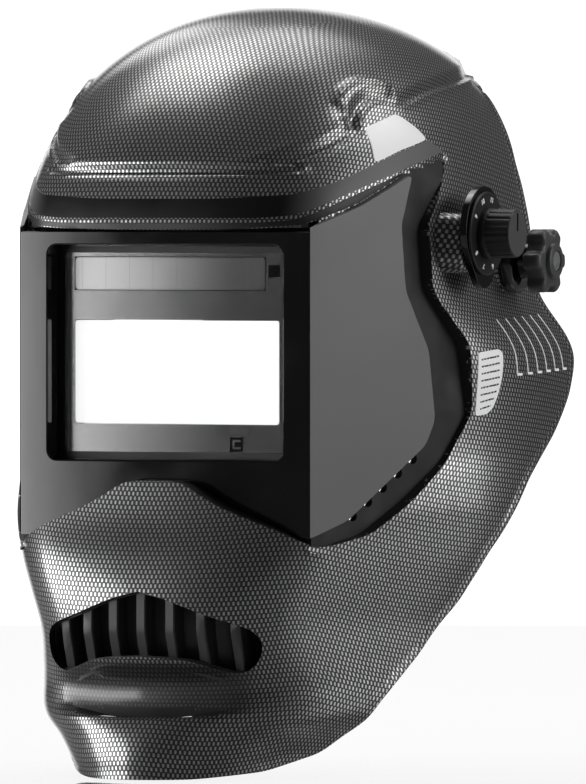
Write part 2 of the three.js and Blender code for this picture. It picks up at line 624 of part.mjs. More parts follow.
// ---------------------------------------------------------------- shade control
function makeShadeHousing() {
  const { top, topRise, foot, footDrop } = SHADE_PLATE;
  const outline = new THREE.Shape();
  outline.absarc(SHADE.y, SHADE.z + topRise, top, -0.15 * Math.PI, 1.15 * Math.PI);
  outline.absarc(SHADE.y, SHADE.z - footDrop, foot, 1.2 * Math.PI, 1.8 * Math.PI);
  const plate = alongX(outline, SHADE.boss + GAP, SHADE.plate);
  return cut(plate, rodX(90, 130, SHADE_BORE.plate, SHADE.y, SHADE.z));
}

function makeDial() {
  const ring = rodX(SHADE.plate + GAP, SHADE.dial, SHADE_DIAL_RADIUS, SHADE.y, SHADE.z, 28);
  return cut(ring, rodX(90, 130, SHADE_BORE.dial, SHADE.y, SHADE.z));
}

function makeShadeKnob() {
  const { foot, grip, end, grooves, groove } = SHADE_KNOB;
  const base = SHADE.dial + GAP;
  const profile = [[base, 0], [base, foot], [base + 2, foot], [base + 2.4, grip + 0.2],
    [SHADE.knob - 1, grip], [SHADE.knob, end], [SHADE.knob, 0]];
  const cuts = [];
  for (let i = 0; i < grooves; i++) {
    const a = (2 * Math.PI * (i + 0.5)) / grooves;
    const [grooveY, grooveZ] = [SHADE.y + foot * Math.cos(a), SHADE.z + foot * Math.sin(a)];
    cuts.push(rodX(base + 3, SHADE.knob + 2, groove, grooveY, grooveZ, 6));
  }
  const [y, z] = [SHADE.y, SHADE.z];
  const mark = box(SHADE.knob - 0.6, SHADE.knob + 2, y - 0.7, y + 0.7, z + 1, z + 8);
  const bore = rodX(base - 1, base + 8, SHADE_BORE.knob, SHADE.y, SHADE.z, 16);
  return cut(turnedX(profile, SHADE.y, SHADE.z, 24), mark, ...cuts, bore);
}

function makePotentiometer() {
  const profile = [[80.5, 0], [80.5, 7.6], [89, 8], [89, 3.5], [108, 3.5], [108, SHAFT],
    [114.5, SHAFT], [114.5, 0]];
  const slot = box(75, 82.5, SHADE.y - 3, SHADE.y - 1.2, SHADE.z - 12, SHADE.z + 12);
  return cut(turnedX(profile, SHADE.y, SHADE.z), slot);
}

const makePotNut = () =>
  cut(
    rodX(SHADE.plate + GAP, SHADE.dial, 5.6, SHADE.y, SHADE.z, 6),
    rodX(90, 120, SHADE_BORE.shell, SHADE.y, SHADE.z, 20),
  );

const makeCable = () =>
  wire(new THREE.CatmullRomCurve3(CABLE_ROUTE.map((p) => axis(...p))), CABLE_RADIUS, 26);

// ---------------------------------------------------------------- pivots
function makePivotBolt() {
  const half = BOLT_SQUARE / 2;
  return join(
    turnedX([[77.6, 0], [77.6, 6.5], [78.3, 7], [79.6, 7], [79.6, 0]], 0, 0, 20),
    rodX(79, 118.5, PIVOT.bolt / 2),
    box(79, 85.9, -half, half, -half, half),
  );
}

function makeStopPlate() {
  const { inner, outer, pin, pinZ, pinEnd } = STOP_PLATE;
  const half = SQUARE_HOLE / 2;
  const outline = [[-13, -12], [13, -12], [13, 12], [6, 20], [-6, 20], [-13, 12]];
  const plate = alongX(shapeOf(outline), inner, outer);
  return cut(join(plate, rodX(85, pinEnd, pin, 0, pinZ, 14)), box(80, 90, -half, half, -half, half));
}

const makeSpacer = () => cut(rodX(SPACER.inner, SPACER.outer, SPACER.radius), rodX(80, 100, 4.3));

function makeCollar() {
  const radius = PIVOT.collar / 2;
  const profile = [[PIVOT.seat + GAP, 0], [PIVOT.seat + GAP, radius], [101.5, radius], [103.4, 11.6],
    [103.4, 7.5], [108.5, 7], [108.5, 0]];
  return cut(turnedX(profile, 0, 0, 24), rodX(90, 120, 4.3));
}

// Closed outline round a middle, with its radius given as a function of the angle.
function wavy(radius, steps, height = 0) {
  const points = [];
  for (let i = 0; i < steps; i++) {
    const a = (2 * Math.PI * i) / steps;
    points.push([radius(a) * Math.cos(a), height + radius(a) * Math.sin(a)]);
  }
  return shapeOf(points);
}

function makeStarKnob() {
  const { lobes, lobe, back, front, hub, end } = STAR;
  const radius = (a) => PIVOT.star / 2 - lobe + lobe * Math.tanh(2.2 * Math.cos(lobes * a));
  const middle = turnedX([[back, 0], [back, hub], [end - 0.6, 7.4], [end, 6.8], [end, 0]]);
  return cut(join(alongX(wavy(radius, lobes * 6), back, front), middle), rodX(100, 130, 4.25));
}

// ---------------------------------------------------------------- headgear
// Height of the middle of the band at an angle round from the forehead, in degrees.
function bandHeight(degrees) {
  const a = Math.abs(degrees);
  const ease = (t) => t * t * (3 - 2 * t);
  const { forehead, temple, dropAngle } = BAND_HEIGHT;
  if (a < BAND.templeAngle) return forehead - (forehead - temple) * ease(a / BAND.templeAngle);
  return temple + (RATCHET_Z - temple) * ease(Math.min((a - BAND.templeAngle) / dropAngle, 1));
}

function bandPoint(degrees, out, rise) {
  const a = THREE.MathUtils.degToRad(degrees);
  const middle = (BAND.front + BAND.rear) / 2;
  const depth = (BAND.rear - BAND.front) / 2;
  const normal = new THREE.Vector2(Math.sin(a) / BAND.half, -Math.cos(a) / depth).normalize();
  return axis(
    BAND.half * Math.sin(a) + normal.x * out,
    middle - depth * Math.cos(a) + normal.y * out,
    bandHeight(degrees) + rise,
  );
}

// A strap that follows the band between two angles. `half` gives its half width and `offset` its
// inner face at an angle, and `rise` moves it up from the middle of the band.
function bandStrap(from, to, steps, half, offset, wall, rise = 0) {
  const rings = [];
  for (let i = 0; i <= steps; i++) {
    const d = from + ((to - from) * i) / steps;
    const [near, far, h] = [offset(d), offset(d) + wall, half(d)];
    const corners = [[near, rise - h], [far, rise - h], [far, rise + h], [near, rise + h]];
    rings.push(corners.map(([out, up]) => bandPoint(d, out, up)));
  }
  return loft(rings);
}

// Half of the crown strap, from its pivot over the head; `lift` raises its end over the other half's.
function crownStrap(side, lift) {
  const { front, back, base, rise, top, lapStart, steps } = CROWN;
  const rings = [];
  for (let i = 0; i <= steps; i++) {
    const a = THREE.MathUtils.degToRad((top * i) / steps);
    const lifted = lift * Math.min(1, Math.max(0, i / steps - lapStart) * 4);
    const point = (out, y) =>
      axis(side * (BAND.half - 1.6 + out) * Math.cos(a), y, base + (rise + out + lifted) * Math.sin(a));
    rings.push([point(0, front), point(BAND.wall, front), point(BAND.wall, back), point(0, back)]);
  }
  return loft(rings);
}

function makeHeadband() {
  const { forehead, temple, templeAngle, wall } = BAND;
  const half = (d) => forehead - (forehead - temple) * Math.min(Math.abs(d) / templeAngle, 1);
  const band = bandStrap(-TAIL_START, TAIL_START, 36, half, () => 0, wall);
  const pads = [rodX(-83, -79.9, 15), rodX(79.9, 83, 15)];
  const pegHole = new THREE.CylinderGeometry(PEG.hole, PEG.hole, 20, 14);
  pegHole.rotateX(Math.PI / 2).translate(0, PEG.y, 90);
  const square = SQUARE_HOLE / 2;
  return cut(
    join(band, ...pads, crownStrap(1, 0), crownStrap(-1, CROWN.lap)),
    box(-120, 120, -square, square, -square, square),
    solid(pegHole),
  );
}

function makeCrownPeg() {
  const { head, shank, y } = PEG;
  const profile = [[86, 0], [86, head], [87.6, head], [87.6, shank], [93.2, shank], [93.2, head],
    [94.6, 4], [94.6, 0]];
  return solid(turned(profile, 16).rotateY(-Math.PI / 2).translate(0, y, 0));
}

function makeTail(side) {
  const { wide, narrow, lap, lapStart, lapAngle, slot } = TAIL;
  const eased = (d, from, over) => Math.min(1, Math.max(0, (Math.abs(d) - from) / over));
  const step = (d) => (side > 0 ? lap * eased(d, lapStart, lapAngle) : 0);
  const half = (d) => wide - (wide - narrow) * eased(d, TAIL_START, 20);
  const strap = bandStrap(side * (TAIL_START + 0.4), side * TAIL_END, 24, half, step, BAND.wall);
  return cut(strap, box(-slot, slot, 85, 110, RATCHET_Z - 4.6, RATCHET_Z + 4.6));
}

function makeRatchetHousing() {
  const { from, to, half, outer, depth, steps } = RATCHET;
  const back = bandStrap(from, to, steps, () => half, () => outer, depth);
  const rails = [1, -1].map((side) =>
    bandStrap(from, to, steps, () => RAIL.half, () => -0.1, RAIL.depth, side * RAIL.offset),
  );
  return cut(join(back, ...rails), rodY(90, 130, 4.4, 0, RATCHET_Z));
}

function makeRatchetCover() {
  const { from, to, half, inner, cover, steps } = RATCHET;
  const plate = bandStrap(from, to, steps, () => half, () => inner, cover);
  return cut(plate, rodY(80, 130, 2.2, 0, RATCHET_Z));
}

function makeRatchetKnob() {
  const { radius, flute, flutes, back, rim, end } = RATCHET_KNOB;
  const outline = wavy((a) => radius + flute * Math.cos(flutes * a), 36, RATCHET_Z);
  const profile = [[rim - 1, 0], [rim - 1, radius - 0.5], [rim + 2, radius - 2], [end, 13], [end, 0]];
  const face = turnedY(profile, 0, RATCHET_Z, 32);
  return cut(join(alongY(outline, back, rim), face), rodY(100, 118, 3.1, 0, RATCHET_Z));
}

function makePinion() {
  const profile = [[95.2, 0], [95.2, 2], [96.4, 2], [96.4, 4.1], [103.5, 4.1], [103.5, 2.9],
    [117.5, 2.9], [117.5, 0]];
  return turnedY(profile, 0, RATCHET_Z, 20);
}

function makeSweatband() {
  const { angle, half, inner, wall } = SWEATBAND;
  return bandStrap(-angle, angle, 30, () => half, () => inner, wall);
}

// ---------------------------------------------------------------- assembly
const helmet = new THREE.Group();

function place(name, body, material) {
  const mesh = new THREE.Mesh(geometryOf(body), material());
  mesh.name = name;
  helmet.add(mesh);
  return mesh;
}

// The same piece on both sides; the right one is the mirror image.
function placePair(name, body, material) {
  place(name + "_left", body, material);
  place(name + "_right", body, material).scale.x = -1;
}

place("shell", makeShell(), wovenBlack);
place("front_panel", makeFrontPanel(), glossBlack);
placePair("side_window", makeSideWindow(), tintedPane);
place("outer_cover_lens", makeCoverLens(), clearPane);
place("lens_holder", makeLensHolder(), mattBlack);
place("filter_housing", makeFilterHousing(), mattBlack);
place("filter_face", makeFilterFace(), coatedGlass);
place("lcd_glass", makeLiquidCrystal(), liquidCrystal);
place("solar_strip", makeSolarStrip(), solarCell);
place("arc_sensor_lower", makeSensor(SENSORS[0]), glossBlack);
place("arc_sensor_upper", makeSensor(SENSORS[1]), glossBlack);
place("sensitivity_knob", makeControlKnob(CONTROL_X[0]), greyPlastic);
place("delay_knob", makeControlKnob(CONTROL_X[1]), greyPlastic);
place("inner_cover_lens", makeInnerLens(), clearPane);
place("retaining_clip", makeClip(), steel);
SCREWS.forEach((at, i) => place("holder_screw_" + (i + 1), makeScrew(at), steel));
place("vent_grille", makeVentGrille(), mattBlack);
place("shade_housing", makeShadeHousing(), mattBlack);
place("shade_dial", makeDial(), glossBlack);
place("shade_knob", makeShadeKnob(), mattBlack);
place("potentiometer", makePotentiometer(), brass);
place("potentiometer_nut", makePotNut(), brass);
place("control_cable", makeCable(), cableSleeve);
placePair("pivot_bolt", makePivotBolt(), steel);
placePair("stop_plate", makeStopPlate(), mattBlack);
placePair("pivot_spacer", makeSpacer(), greyPlastic);
placePair("pivot_collar", makeCollar(), mattBlack);
placePair("star_knob", makeStarKnob(), greyPlastic);
place("headband", makeHeadband(), mattBlack);
place("crown_peg", makeCrownPeg(), greyPlastic);
place("band_tail_left", makeTail(1), mattBlack);
place("band_tail_right", makeTail(-1), mattBlack);
place("ratchet_housing", makeRatchetHousing(), mattBlack);
place("ratchet_cover", makeRatchetCover(), mattBlack);
place("ratchet_knob", makeRatchetKnob(), greyPlastic);
place("ratchet_pinion", makePinion(), greyPlastic);
place("sweatband", makeSweatband(), softPad);

export default helmet;
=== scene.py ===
"""Looks of an auto-darkening welding helmet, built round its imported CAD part.

Lengths in this file are millimetres in the part's frame: +Z up, the face looks along -Y and +X is the
wearer's left. A piece is turned into metres by finish_piece(), when it is handed to its CAD body.
"""
import json
import math

import bmesh
import bpy
import numpy as np
from mathutils import Matrix, Vector


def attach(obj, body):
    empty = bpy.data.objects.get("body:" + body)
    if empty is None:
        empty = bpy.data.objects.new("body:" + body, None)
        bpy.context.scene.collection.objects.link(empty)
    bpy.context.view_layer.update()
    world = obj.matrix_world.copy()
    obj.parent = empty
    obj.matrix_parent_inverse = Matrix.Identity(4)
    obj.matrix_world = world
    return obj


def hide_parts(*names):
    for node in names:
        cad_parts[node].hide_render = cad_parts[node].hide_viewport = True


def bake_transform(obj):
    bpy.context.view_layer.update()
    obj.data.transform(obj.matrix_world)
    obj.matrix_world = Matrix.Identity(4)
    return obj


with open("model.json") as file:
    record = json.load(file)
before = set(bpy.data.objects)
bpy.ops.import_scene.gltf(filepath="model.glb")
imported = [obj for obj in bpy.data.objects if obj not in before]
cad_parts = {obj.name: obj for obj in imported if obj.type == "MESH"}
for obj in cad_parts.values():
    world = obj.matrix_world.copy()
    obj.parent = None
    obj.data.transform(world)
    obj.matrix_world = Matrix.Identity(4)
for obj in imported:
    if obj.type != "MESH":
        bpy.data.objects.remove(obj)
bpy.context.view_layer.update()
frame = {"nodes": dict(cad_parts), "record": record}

NODES = frame["nodes"]
METRES = 0.001
SIDES = ((1, "left"), (-1, "right"))

# ---------------------------------------------------------------- driving dimensions
# They are those of the CAD part, except that four rows of SECTIONS, at -163 to -186, are a few
# millimetres fuller: there the outline of the chin in the photograph runs outside the CAD's.
WALL = 2.6
GAP = 0.3
SHELL_TOP = 103.5
DOME_POWER = 2.1
REAR_DEPTH = 145.0
WING_ANGLE = math.radians(65.4)
WING_SHARPNESS = 30.0

# Horizontal sections of the shell: height, middle, front, half width, exponent, cheek distance.
SECTIONS = np.array([
    [103.5, -12, -138, 97, 2.3, 120],
    [62, -12, -138, 97, 2.35, 114],
    [40, -11, -138, 97, 2.6, 110],
    [25, -9, -138, 97, 3.0, 109.5],
    [0, -6, -138, 97, 3.2, 111.5],
    [-15, 0, -138, 98.5, 3.0, 115],
    [-38, 10, -137, 110, 2.4, 119.5],
    [-60, 10, -137, 111.5, 2.1, 119.5],
    [-80, 10, -137, 111, 2.1, 119.5],
    [-90, 10, -139, 111, 2.4, 119.3],
    [-105, 10, -143, 110.5, 2.6, 119.4],
    [-120, 10, -149, 107, 2.6, 117],
    [-135, 10, -152.5, 101, 2.5, 112.9],
    [-150, 10, -153, 95, 2.4, 109],
    [-163, 10, -150.5, 93, 2.36, 108.5],
    [-172, 10, -147.5, 92, 2.36, 109],
    [-179, 10, -151, 90, 2.3, 110],
    [-186, 10, -156.5, 86, 2.14, 112],
    [-193, 10, -159.5, 79.5, 2.0, 114],
    [-202, 10, -161, 70.5, 2.0, 116],
    [-211, 10, -160, 63, 2.0, 118],
])

# Side views, as [y, z]
REAR_EDGE = [[60, 125], [53, 96], [45, 80], [33, 60], [22, 40], [21, 25], [23, 8], [28, -14], [36, -30],
             [37, -40], [29, -56], [12, -72], [-10, -89], [-25, -105], [-37, -120], [-46, -140],
             [-62, -160], [-83, -180], [-88, -189], [-98, -200], [-122, -207], [-150, -209.5],
             [-240, -210], [-240, 125]]
OPENING = [[-190, 13], [-137, 13], [-125, 15], [-100, 23.5], [-68, 38], [-44, 42.5], [-67, 15],
           [-66, -11.5], [-49, -34], [-47, -62], [-60, -81], [-80, -97.6], [-100, -111],
           [-119, -115.6], [-190, -115.6]]
VISOR = [[-190, 12.4], [-137, 12.4], [-125, 14.4], [-101, 22.5], [-71.6, 35.6], [-78.8, 15],
         [-77.9, -11.5], [-67.5, -36], [-66.1, -65], [-70.6, -75], [-107.9, -105], [-127, -112],
         [-190, -112]]
LEDGE_HOLE = [[-190, 8], [-127, 8], [-101, 17], [-79, 28], [-85, 15], [-84, -11], [-74, -37],
              [-72.5, -62], [-77, -70], [-111, -98], [-128, -104], [-190, -104]]
CAP_EDGE = [[-260, 38.4], [-130, 38.4], [-122, 40.6], [-115, 44], [-91, 54], [-87, 57.5], [-83, 61.8],
            [-78, 65.4], [-72, 67.9], [-66, 68.9], [-61, 68.2], [-57, 66.9], [-52, 67.2], [-25, 72.4],
            [40, 79], [90, 83]]
BROW_EDGE = OPENING[:6]
BELL = [[0, -89], [12, -89.6], [23, -95.5], [31, -99.5], [42, -104], [53, -108.5], [60, -112],
        [66, -115.4]]  # upper edge of the muzzle from the middle out, as [x, z]

# Plan line of the visor's front faces from the middle out, as [x, y], at the height VISOR_LEVEL.
VISOR_PLAN = [[0, -127], [65.5, -127], [74.1, -106.8], [93.5, -66], [103, -43]]
VISOR_LEAN = [0, 0, 0.004, 0.058, 0.08]
VISOR_LEVEL = -62
PANEL_HALF = 65.2
PANE = 2.2

TUNNEL = {"half": 52.5, "top": 6.4, "bottom": -80.4}
HOLDER_FRONT = -118.8
VIEW_CENTRE = Vector((0, -115, -45))

VENT = [[0, -133.5], [12, -136.5], [28, -142.5], [40, -146.5], [46, -150], [48, -155.5],
        [46.5, -161.5], [42.5, -165.5], [38, -166.5], [32, -165], [20, -161.5], [0, -160]]
RIBS = 7
RIB_PITCH = 12.7

SHADE_Y = -45
SHADE_Z = 11.4
BOSS_Y = -46
BOSS_Z = 7.5
BOSS_HALF = (15.5, 11.5)
BOSS_RADIUS = 7
TIP_ROOM = ((-140, -75, 25), (140, -40, 48))  # rear tip of the opening, which a recessed wall closes
TIP_INSET = 0.8
PIVOT_SEAT = 98.3
PIVOT_HOLE = 8.8


# ---------------------------------------------------------------- small mathematics
def ease(value, low, high):
    """0 below low, 1 above high and a smooth step between them."""
    t = np.clip((value - low) / (high - low), 0, 1)
    return t * t * (3 - 2 * t)


def distance_to_line(points, line):
    """Distance of each point from an open polyline, and whether it is on the polyline's left side."""
    points = np.asarray(points, float)
    line = np.asarray(line, float)
    best = np.full(len(points), np.inf)
    left = np.zeros(len(points), bool)
    for a, b in zip(line[:-1], line[1:]):
        run = b - a
        t = np.clip((points - a) @ run / (run @ run), 0, 1)
        gap = points - (a + t[:, None] * run)
        distance = np.hypot(*gap.T)
        nearer = distance < best
        best[nearer] = distance[nearer]
        left[nearer] = (run[0] * gap[:, 1] - run[1] * gap[:, 0])[nearer] > 0
    return best, left


def rounded(outline, radius, steps=5):
    """The closed outline with each corner eased off over `radius` on either side."""
    points = np.asarray(outline, float)
    result = []
    for before, corner, after in zip(np.roll(points, 1, 0), points, np.roll(points, -1, 0)):
        back, on = before - corner, after - corner
        reach = min(radius, 0.45 * np.linalg.norm(back), 0.45 * np.linalg.norm(on))
        start = corner + back / np.linalg.norm(back) * reach
        end = corner + on / np.linalg.norm(on) * reach
        for t in np.linspace(0, 1, steps):
            result.append((1 - t) ** 2 * start + 2 * t * (1 - t) * corner + t * t * end)
    return np.array(result)


def grow(outline, distance):
    """The closed outline moved outwards by a distance, or inwards when it is negative."""
    points = np.asarray(outline, float)
    after = np.roll(points, -1, 0)
    before = np.roll(points, 1, 0)
    area = (points[:, 0] * after[:, 1] - after[:, 0] * points[:, 1]).sum()
    into = (points - before) / np.linalg.norm(points - before, axis=1)[:, None]
    on = (after - points) / np.linalg.norm(after - points, axis=1)[:, None]
    normal = np.stack([into[:, 1] + on[:, 1], -into[:, 0] - on[:, 0]], 1)
    normal /= np.linalg.norm(normal, axis=1)[:, None]
    square = normal[:, 0] * into[:, 1] - normal[:, 1] * into[:, 0]
    return points + normal * (math.copysign(1, area) * distance / np.maximum(0.5, square))[:, None]


def mirrored(half):
    """A closed outline from its right half, which starts and ends on the middle line."""
    half = np.asarray(half, float)
    other = half[::-1] * [-1, 1]
    return np.concatenate([half, other[np.abs(other[:, 0]) > 1e-6]])


def smooth_line(points, steps=6):
    """A Catmull-Rom line through the points."""
    points = np.asarray(points, float)
    padded = np.concatenate([[2 * points[0] - points[1]], points, [2 * points[-1] - points[-2]]])
    result = []
    for a, b, c, d in zip(padded, padded[1:], padded[2:], padded[3:]):
        for t in np.arange(steps) / steps:
            result.append(0.5 * (2 * b + (c - a) * t + (2 * a - 5 * b + 4 * c - d) * t * t
                                 + (3 * b - a - 3 * c + d) * t ** 3))
    return np.array(result + [points[-1]])


def rounded_rectangle(low, high, radius, steps=8):
    """Outline from corner low to corner high with quarter-circle corners."""
    result = []
    centres = [(high[0] - radius, low[1] + radius, -90), (high[0] - radius, high[1] - radius, 0),
               (low[0] + radius, high[1] - radius, 90), (low[0] + radius, low[1] + radius, 180)]
    for x, z, first in centres:
        for angle in np.radians(np.linspace(first, first + 90, steps)):
            result.append([x + radius * math.cos(angle), z + radius * math.sin(angle)])
    return result


def round_ring(axis, along, radii, steps, middle=(0, 0, 0)):
    """Points round an axis, at a place along it, with one radius or one for each point."""
    angles = np.arange(steps) * 2 * math.pi / steps
    columns = [radii * np.cos(angles), radii * np.sin(angles)]
    columns.insert("XYZ".index(axis), np.full(steps, along))
    return np.stack(columns, 1) + middle


# ---------------------------------------------------------------- bodies
def placed(name, data):
    """New object of the scene that shows a mesh, a curve, a camera or a light."""
    item = bpy.data.objects.new(name, data)
    bpy.context.scene.collection.objects.link(item)
    return item


def mesh_object(name, vertices, faces):
    mesh = bpy.data.meshes.new(name)
    mesh.from_pydata(np.asarray(vertices, float).tolist(), [], faces)
    return placed(name, mesh)


def read_all(items, name, width=3, kind=float):
    """One property of all vertices, corners or faces of a mesh, as rows of numbers."""
    values = np.zeros(len(items) * width, kind)
    items.foreach_get(name, values)
    return values.reshape(-1, width)


def discard(item):
    mesh = item.data
    bpy.data.objects.remove(item)
    bpy.data.meshes.remove(mesh)


def copy_of(item):
    return placed(item.name + "_copy", item.data.copy())


def outward(item):
    """Turns the faces of a closed body outwards."""
    shape = bmesh.new()
    shape.from_mesh(item.data)
    if shape.calc_volume(signed=True) < 0:
        bmesh.ops.reverse_faces(shape, faces=shape.faces)
        shape.to_mesh(item.data)
    shape.free()
    return item


def loft(name, rings):
    """Closed skin over rings that all have the same number of points, with both ends capped."""
    rings = np.asarray(rings, float)
    levels, count = rings.shape[:2]
    index = np.arange(levels * count).reshape(levels, count)
    near, far = index[:-1], index[1:]
    quads = np.stack([near, np.roll(near, -1, 1), np.roll(far, -1, 1), far], -1).reshape(-1, 4)
    faces = quads.tolist() + [index[0][::-1].tolist(), index[-1].tolist()]
    return outward(mesh_object(name, rings.reshape(-1, 3), faces))


def prism(name, outline, axis, low, high):
    """Straight body over an outline: [y, z] along X, [x, z] along Y or [x, y] along Z."""
    column = "XYZ".index(axis)
    return loft(name, [np.insert(np.asarray(outline, float), column, at, axis=1) for at in (low, high)])


def block(low, high):
    """Rectangular tool between two corners."""
    outline = [[low[0], low[1]], [high[0], low[1]], [high[0], high[1]], [low[0], high[1]]]
    return prism("block", outline, "Z", low[2], high[2])


def turned(name, profile, steps=48, middle=(0, 0, 0), axis="X"):
    """Turned body. The profile is [distance along the axis, radius] and leaves out the ends on the axis."""
    return loft(name, [round_ring(axis, along, radius, steps, middle) for along, radius in profile])


def rod(low, high, radius, middle, steps=32, axis="X"):
    return turned("rod", [[low, radius], [high, radius]], steps, middle, axis)


def bake(item):
    """Replaces the mesh by what its modifiers make of it."""
    graph = bpy.context.evaluated_depsgraph_get()
    made = bpy.data.meshes.new_from_object(item.evaluated_get(graph))
    old = item.data
    item.modifiers.clear()
    item.data = made
    bpy.data.meshes.remove(old)
    return item


def combine(body, operation, tools):
    """Joins, cuts or intersects a body with other bodies, which are used up."""
    for tool in tools:
        modifier = body.modifiers.new(operation, "BOOLEAN")
        modifier.operation = operation
        modifier.solver = "MANIFOLD"
        modifier.object = tool
    bake(body)
    for tool in tools:
        discard(tool)
    return body


def join(body, *tools):
    return combine(body, "UNION", tools)


def cut(body, *tools):
    return combine(body, "DIFFERENCE", tools)


def common(body, *tools):
    return combine(body, "INTERSECT", tools)


def bevel(item, width, segments=2, angle=40):
    """Rounds the edges that are sharper than the angle, in degrees."""
    modifier = item.modifiers.new("bevel", "BEVEL")
    modifier.width = width
    modifier.segments = segments
    modifier.limit_method = "ANGLE"
    modifier.angle_limit = math.radians(angle)
    modifier.harden_normals = False
    return bake(item)


def to_metres(item, name, sharp=32):
    """Names a finished body, turns it into metres and shades it smooth, but for its sharp edges."""
    item.name = name
    item.data.name = name
    item.data.transform(Matrix.Scale(METRES, 4))
    item.data.shade_smooth()
    item.data.set_sharp_from_angle(angle=math.radians(sharp))


def finish_piece(item, name, body, materials, replaces=(), sharp=32, flat=False):
    """Names a finished body, turns it into metres, paints it and hands it to its CAD body."""
    to_metres(item, name, sharp)
    if flat:
        weighted = item.modifiers.new("weighted", "WEIGHTED_NORMAL")
        weighted.keep_sharp = True
    indices = read_all(item.data.polygons, "material_index", 1, np.int32).ravel()
    item.data.materials.clear()
    for material in materials:
        item.data.materials.append(material)
    if len(materials) > 1:
        item.data.polygons.foreach_set("material_index", indices)
    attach(item, body)
    if replaces:
        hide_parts(*replaces)
    return item


# ---------------------------------------------------------------- skin of the shell
HORN_ANGLES = (40, 80)  # degrees from the front between which the horns of the cap lie
SIDE_END = 125  # degrees from the front to where the coarse rear begins
REAR_STEP = 4.0
SKIN_FOOT = -214
CAP_BAND = (34, 78)  # heights between which the edge of the cap runs
CROWN_START = 90
CROWN_RINGS = 12
TOP_GAP = 0.4  # from the last ring up to the top of the skin
HORN_SHARE, CAP_SHARE = 0.55, 0.42  # steps at the horns and at the edge of the cap, to the plain step


def section(column, z):
    """Smooth curve through one column of SECTIONS, at the heights z."""
    heights, values = SECTIONS[:, 0], SECTIONS[:, column]
    level = np.clip(z, heights[-1], heights[0])
    i = np.clip(np.searchsorted(-heights, -level, side="right") - 1, 0, len(heights) - 2)
    above = np.maximum(np.arange(len(heights)) - 1, 0)
    below = np.minimum(np.arange(len(heights)) + 1, len(heights) - 1)
    slope = (values[below] - values[above]) / (heights[below] - heights[above])
    step = heights[i + 1] - heights[i]
    t = (level - heights[i]) / step
    return (values[i] * (1 + 2 * t) * (1 - t) ** 2 + values[i + 1] * t * t * (3 - 2 * t)
            + step * (slope[i] * t * (1 - t) ** 2 - slope[i + 1] * t * t * (1 - t)))


def skin(angle, z, inset=0.0):
    """Points of the skin at angles round from the front and heights, moved inwards by `inset`."""
    angle, z = np.broadcast_arrays(np.asarray(angle, float), np.asarray(z, float))
    middle, front, half, power, cheek = [section(column, z) for column in range(1, 6)]
    height = np.clip(z / (SHELL_TOP - inset), 0, 1)
    crown = (1 - height ** DOME_POWER) ** (1 / DOME_POWER)
    depth = np.where(np.cos(angle) < 0, REAR_DEPTH, middle - front) - inset
    round_part = (np.abs(np.sin(angle) / (half - inset)) ** power
                  + np.abs(np.cos(angle) / depth) ** power) ** (-1 / power)
    flat_part = (cheek - inset) / np.maximum(np.cos(np.abs(angle) - WING_ANGLE), 1e-3)
    nearer = round_part ** -WING_SHARPNESS + flat_part ** -WING_SHARPNESS
    reach = crown * nearer ** (-1 / WING_SHARPNESS)
    return np.stack([reach * np.sin(angle), middle - reach * np.cos(angle), z], -1)


def skin_front(x, z, inset=0.0):
    """y of the front of the skin at a given x and height."""
    low, high = 0.0, math.pi / 2
    for _ in range(30):
        angle = (low + high) / 2
        if skin(angle, z, inset)[0] < abs(x):
            low = angle
        else:
            high = angle
    return float(skin(low, z, inset)[1])


def skin_angles(step):
    """Angles round the skin, in radians: finest at the horns of the cap, coarsest behind."""
    first, last = HORN_ANGLES
    half = np.concatenate([np.arange(0, first, step), np.arange(first, last, step * HORN_SHARE),
                           np.arange(last, SIDE_END + step / 2, step)])
    front = np.concatenate([-half[:0:-1], half])
    behind = np.arange(SIDE_END + REAR_STEP, 360 - SIDE_END - REAR_STEP, REAR_STEP)
    return np.radians(np.concatenate([front, behind]))


def skin_levels(step, inset=0.0):
    """Heights of the skin's rings: closer together round the edge of the cap and near the crown."""
    top = SHELL_TOP - inset - TOP_GAP
    below = np.arange(SKIN_FOOT, CAP_BAND[0], step)
    band = np.arange(*CAP_BAND, step * CAP_SHARE)
    above = np.arange(CAP_BAND[1], CROWN_START, step)
    towards_top = np.linspace(0, 1, CROWN_RINGS)
    near = SHELL_TOP - inset - (SHELL_TOP - CROWN_START) * (1 - towards_top) ** 2
    levels = np.concatenate([below, band, above, near])
    return np.append(levels[levels < top - 0.5], top)


def skin_body(name, inset, step_angle, step_height, relief=None):
    """Solid bounded by the skin moved inwards; relief gives an extra height over it."""
    angles, levels = skin_angles(step_angle), skin_levels(step_height, inset)
    points = skin(angles[None, :], levels[:, None], inset)
    if relief is not None:
        across = np.roll(points, -1, 1) - np.roll(points, 1, 1)
        up = np.gradient(points, axis=0)
        normal = np.cross(across, up)
        normal /= np.linalg.norm(normal, axis=2)[:, :, None]
        points = points + normal * relief(points)[:, :, None]
    return loft(name, points)


# ---------------------------------------------------------------- relief on the outside of the shell
CAP_LIFT = 1.7
CAP_STEP = 2.4
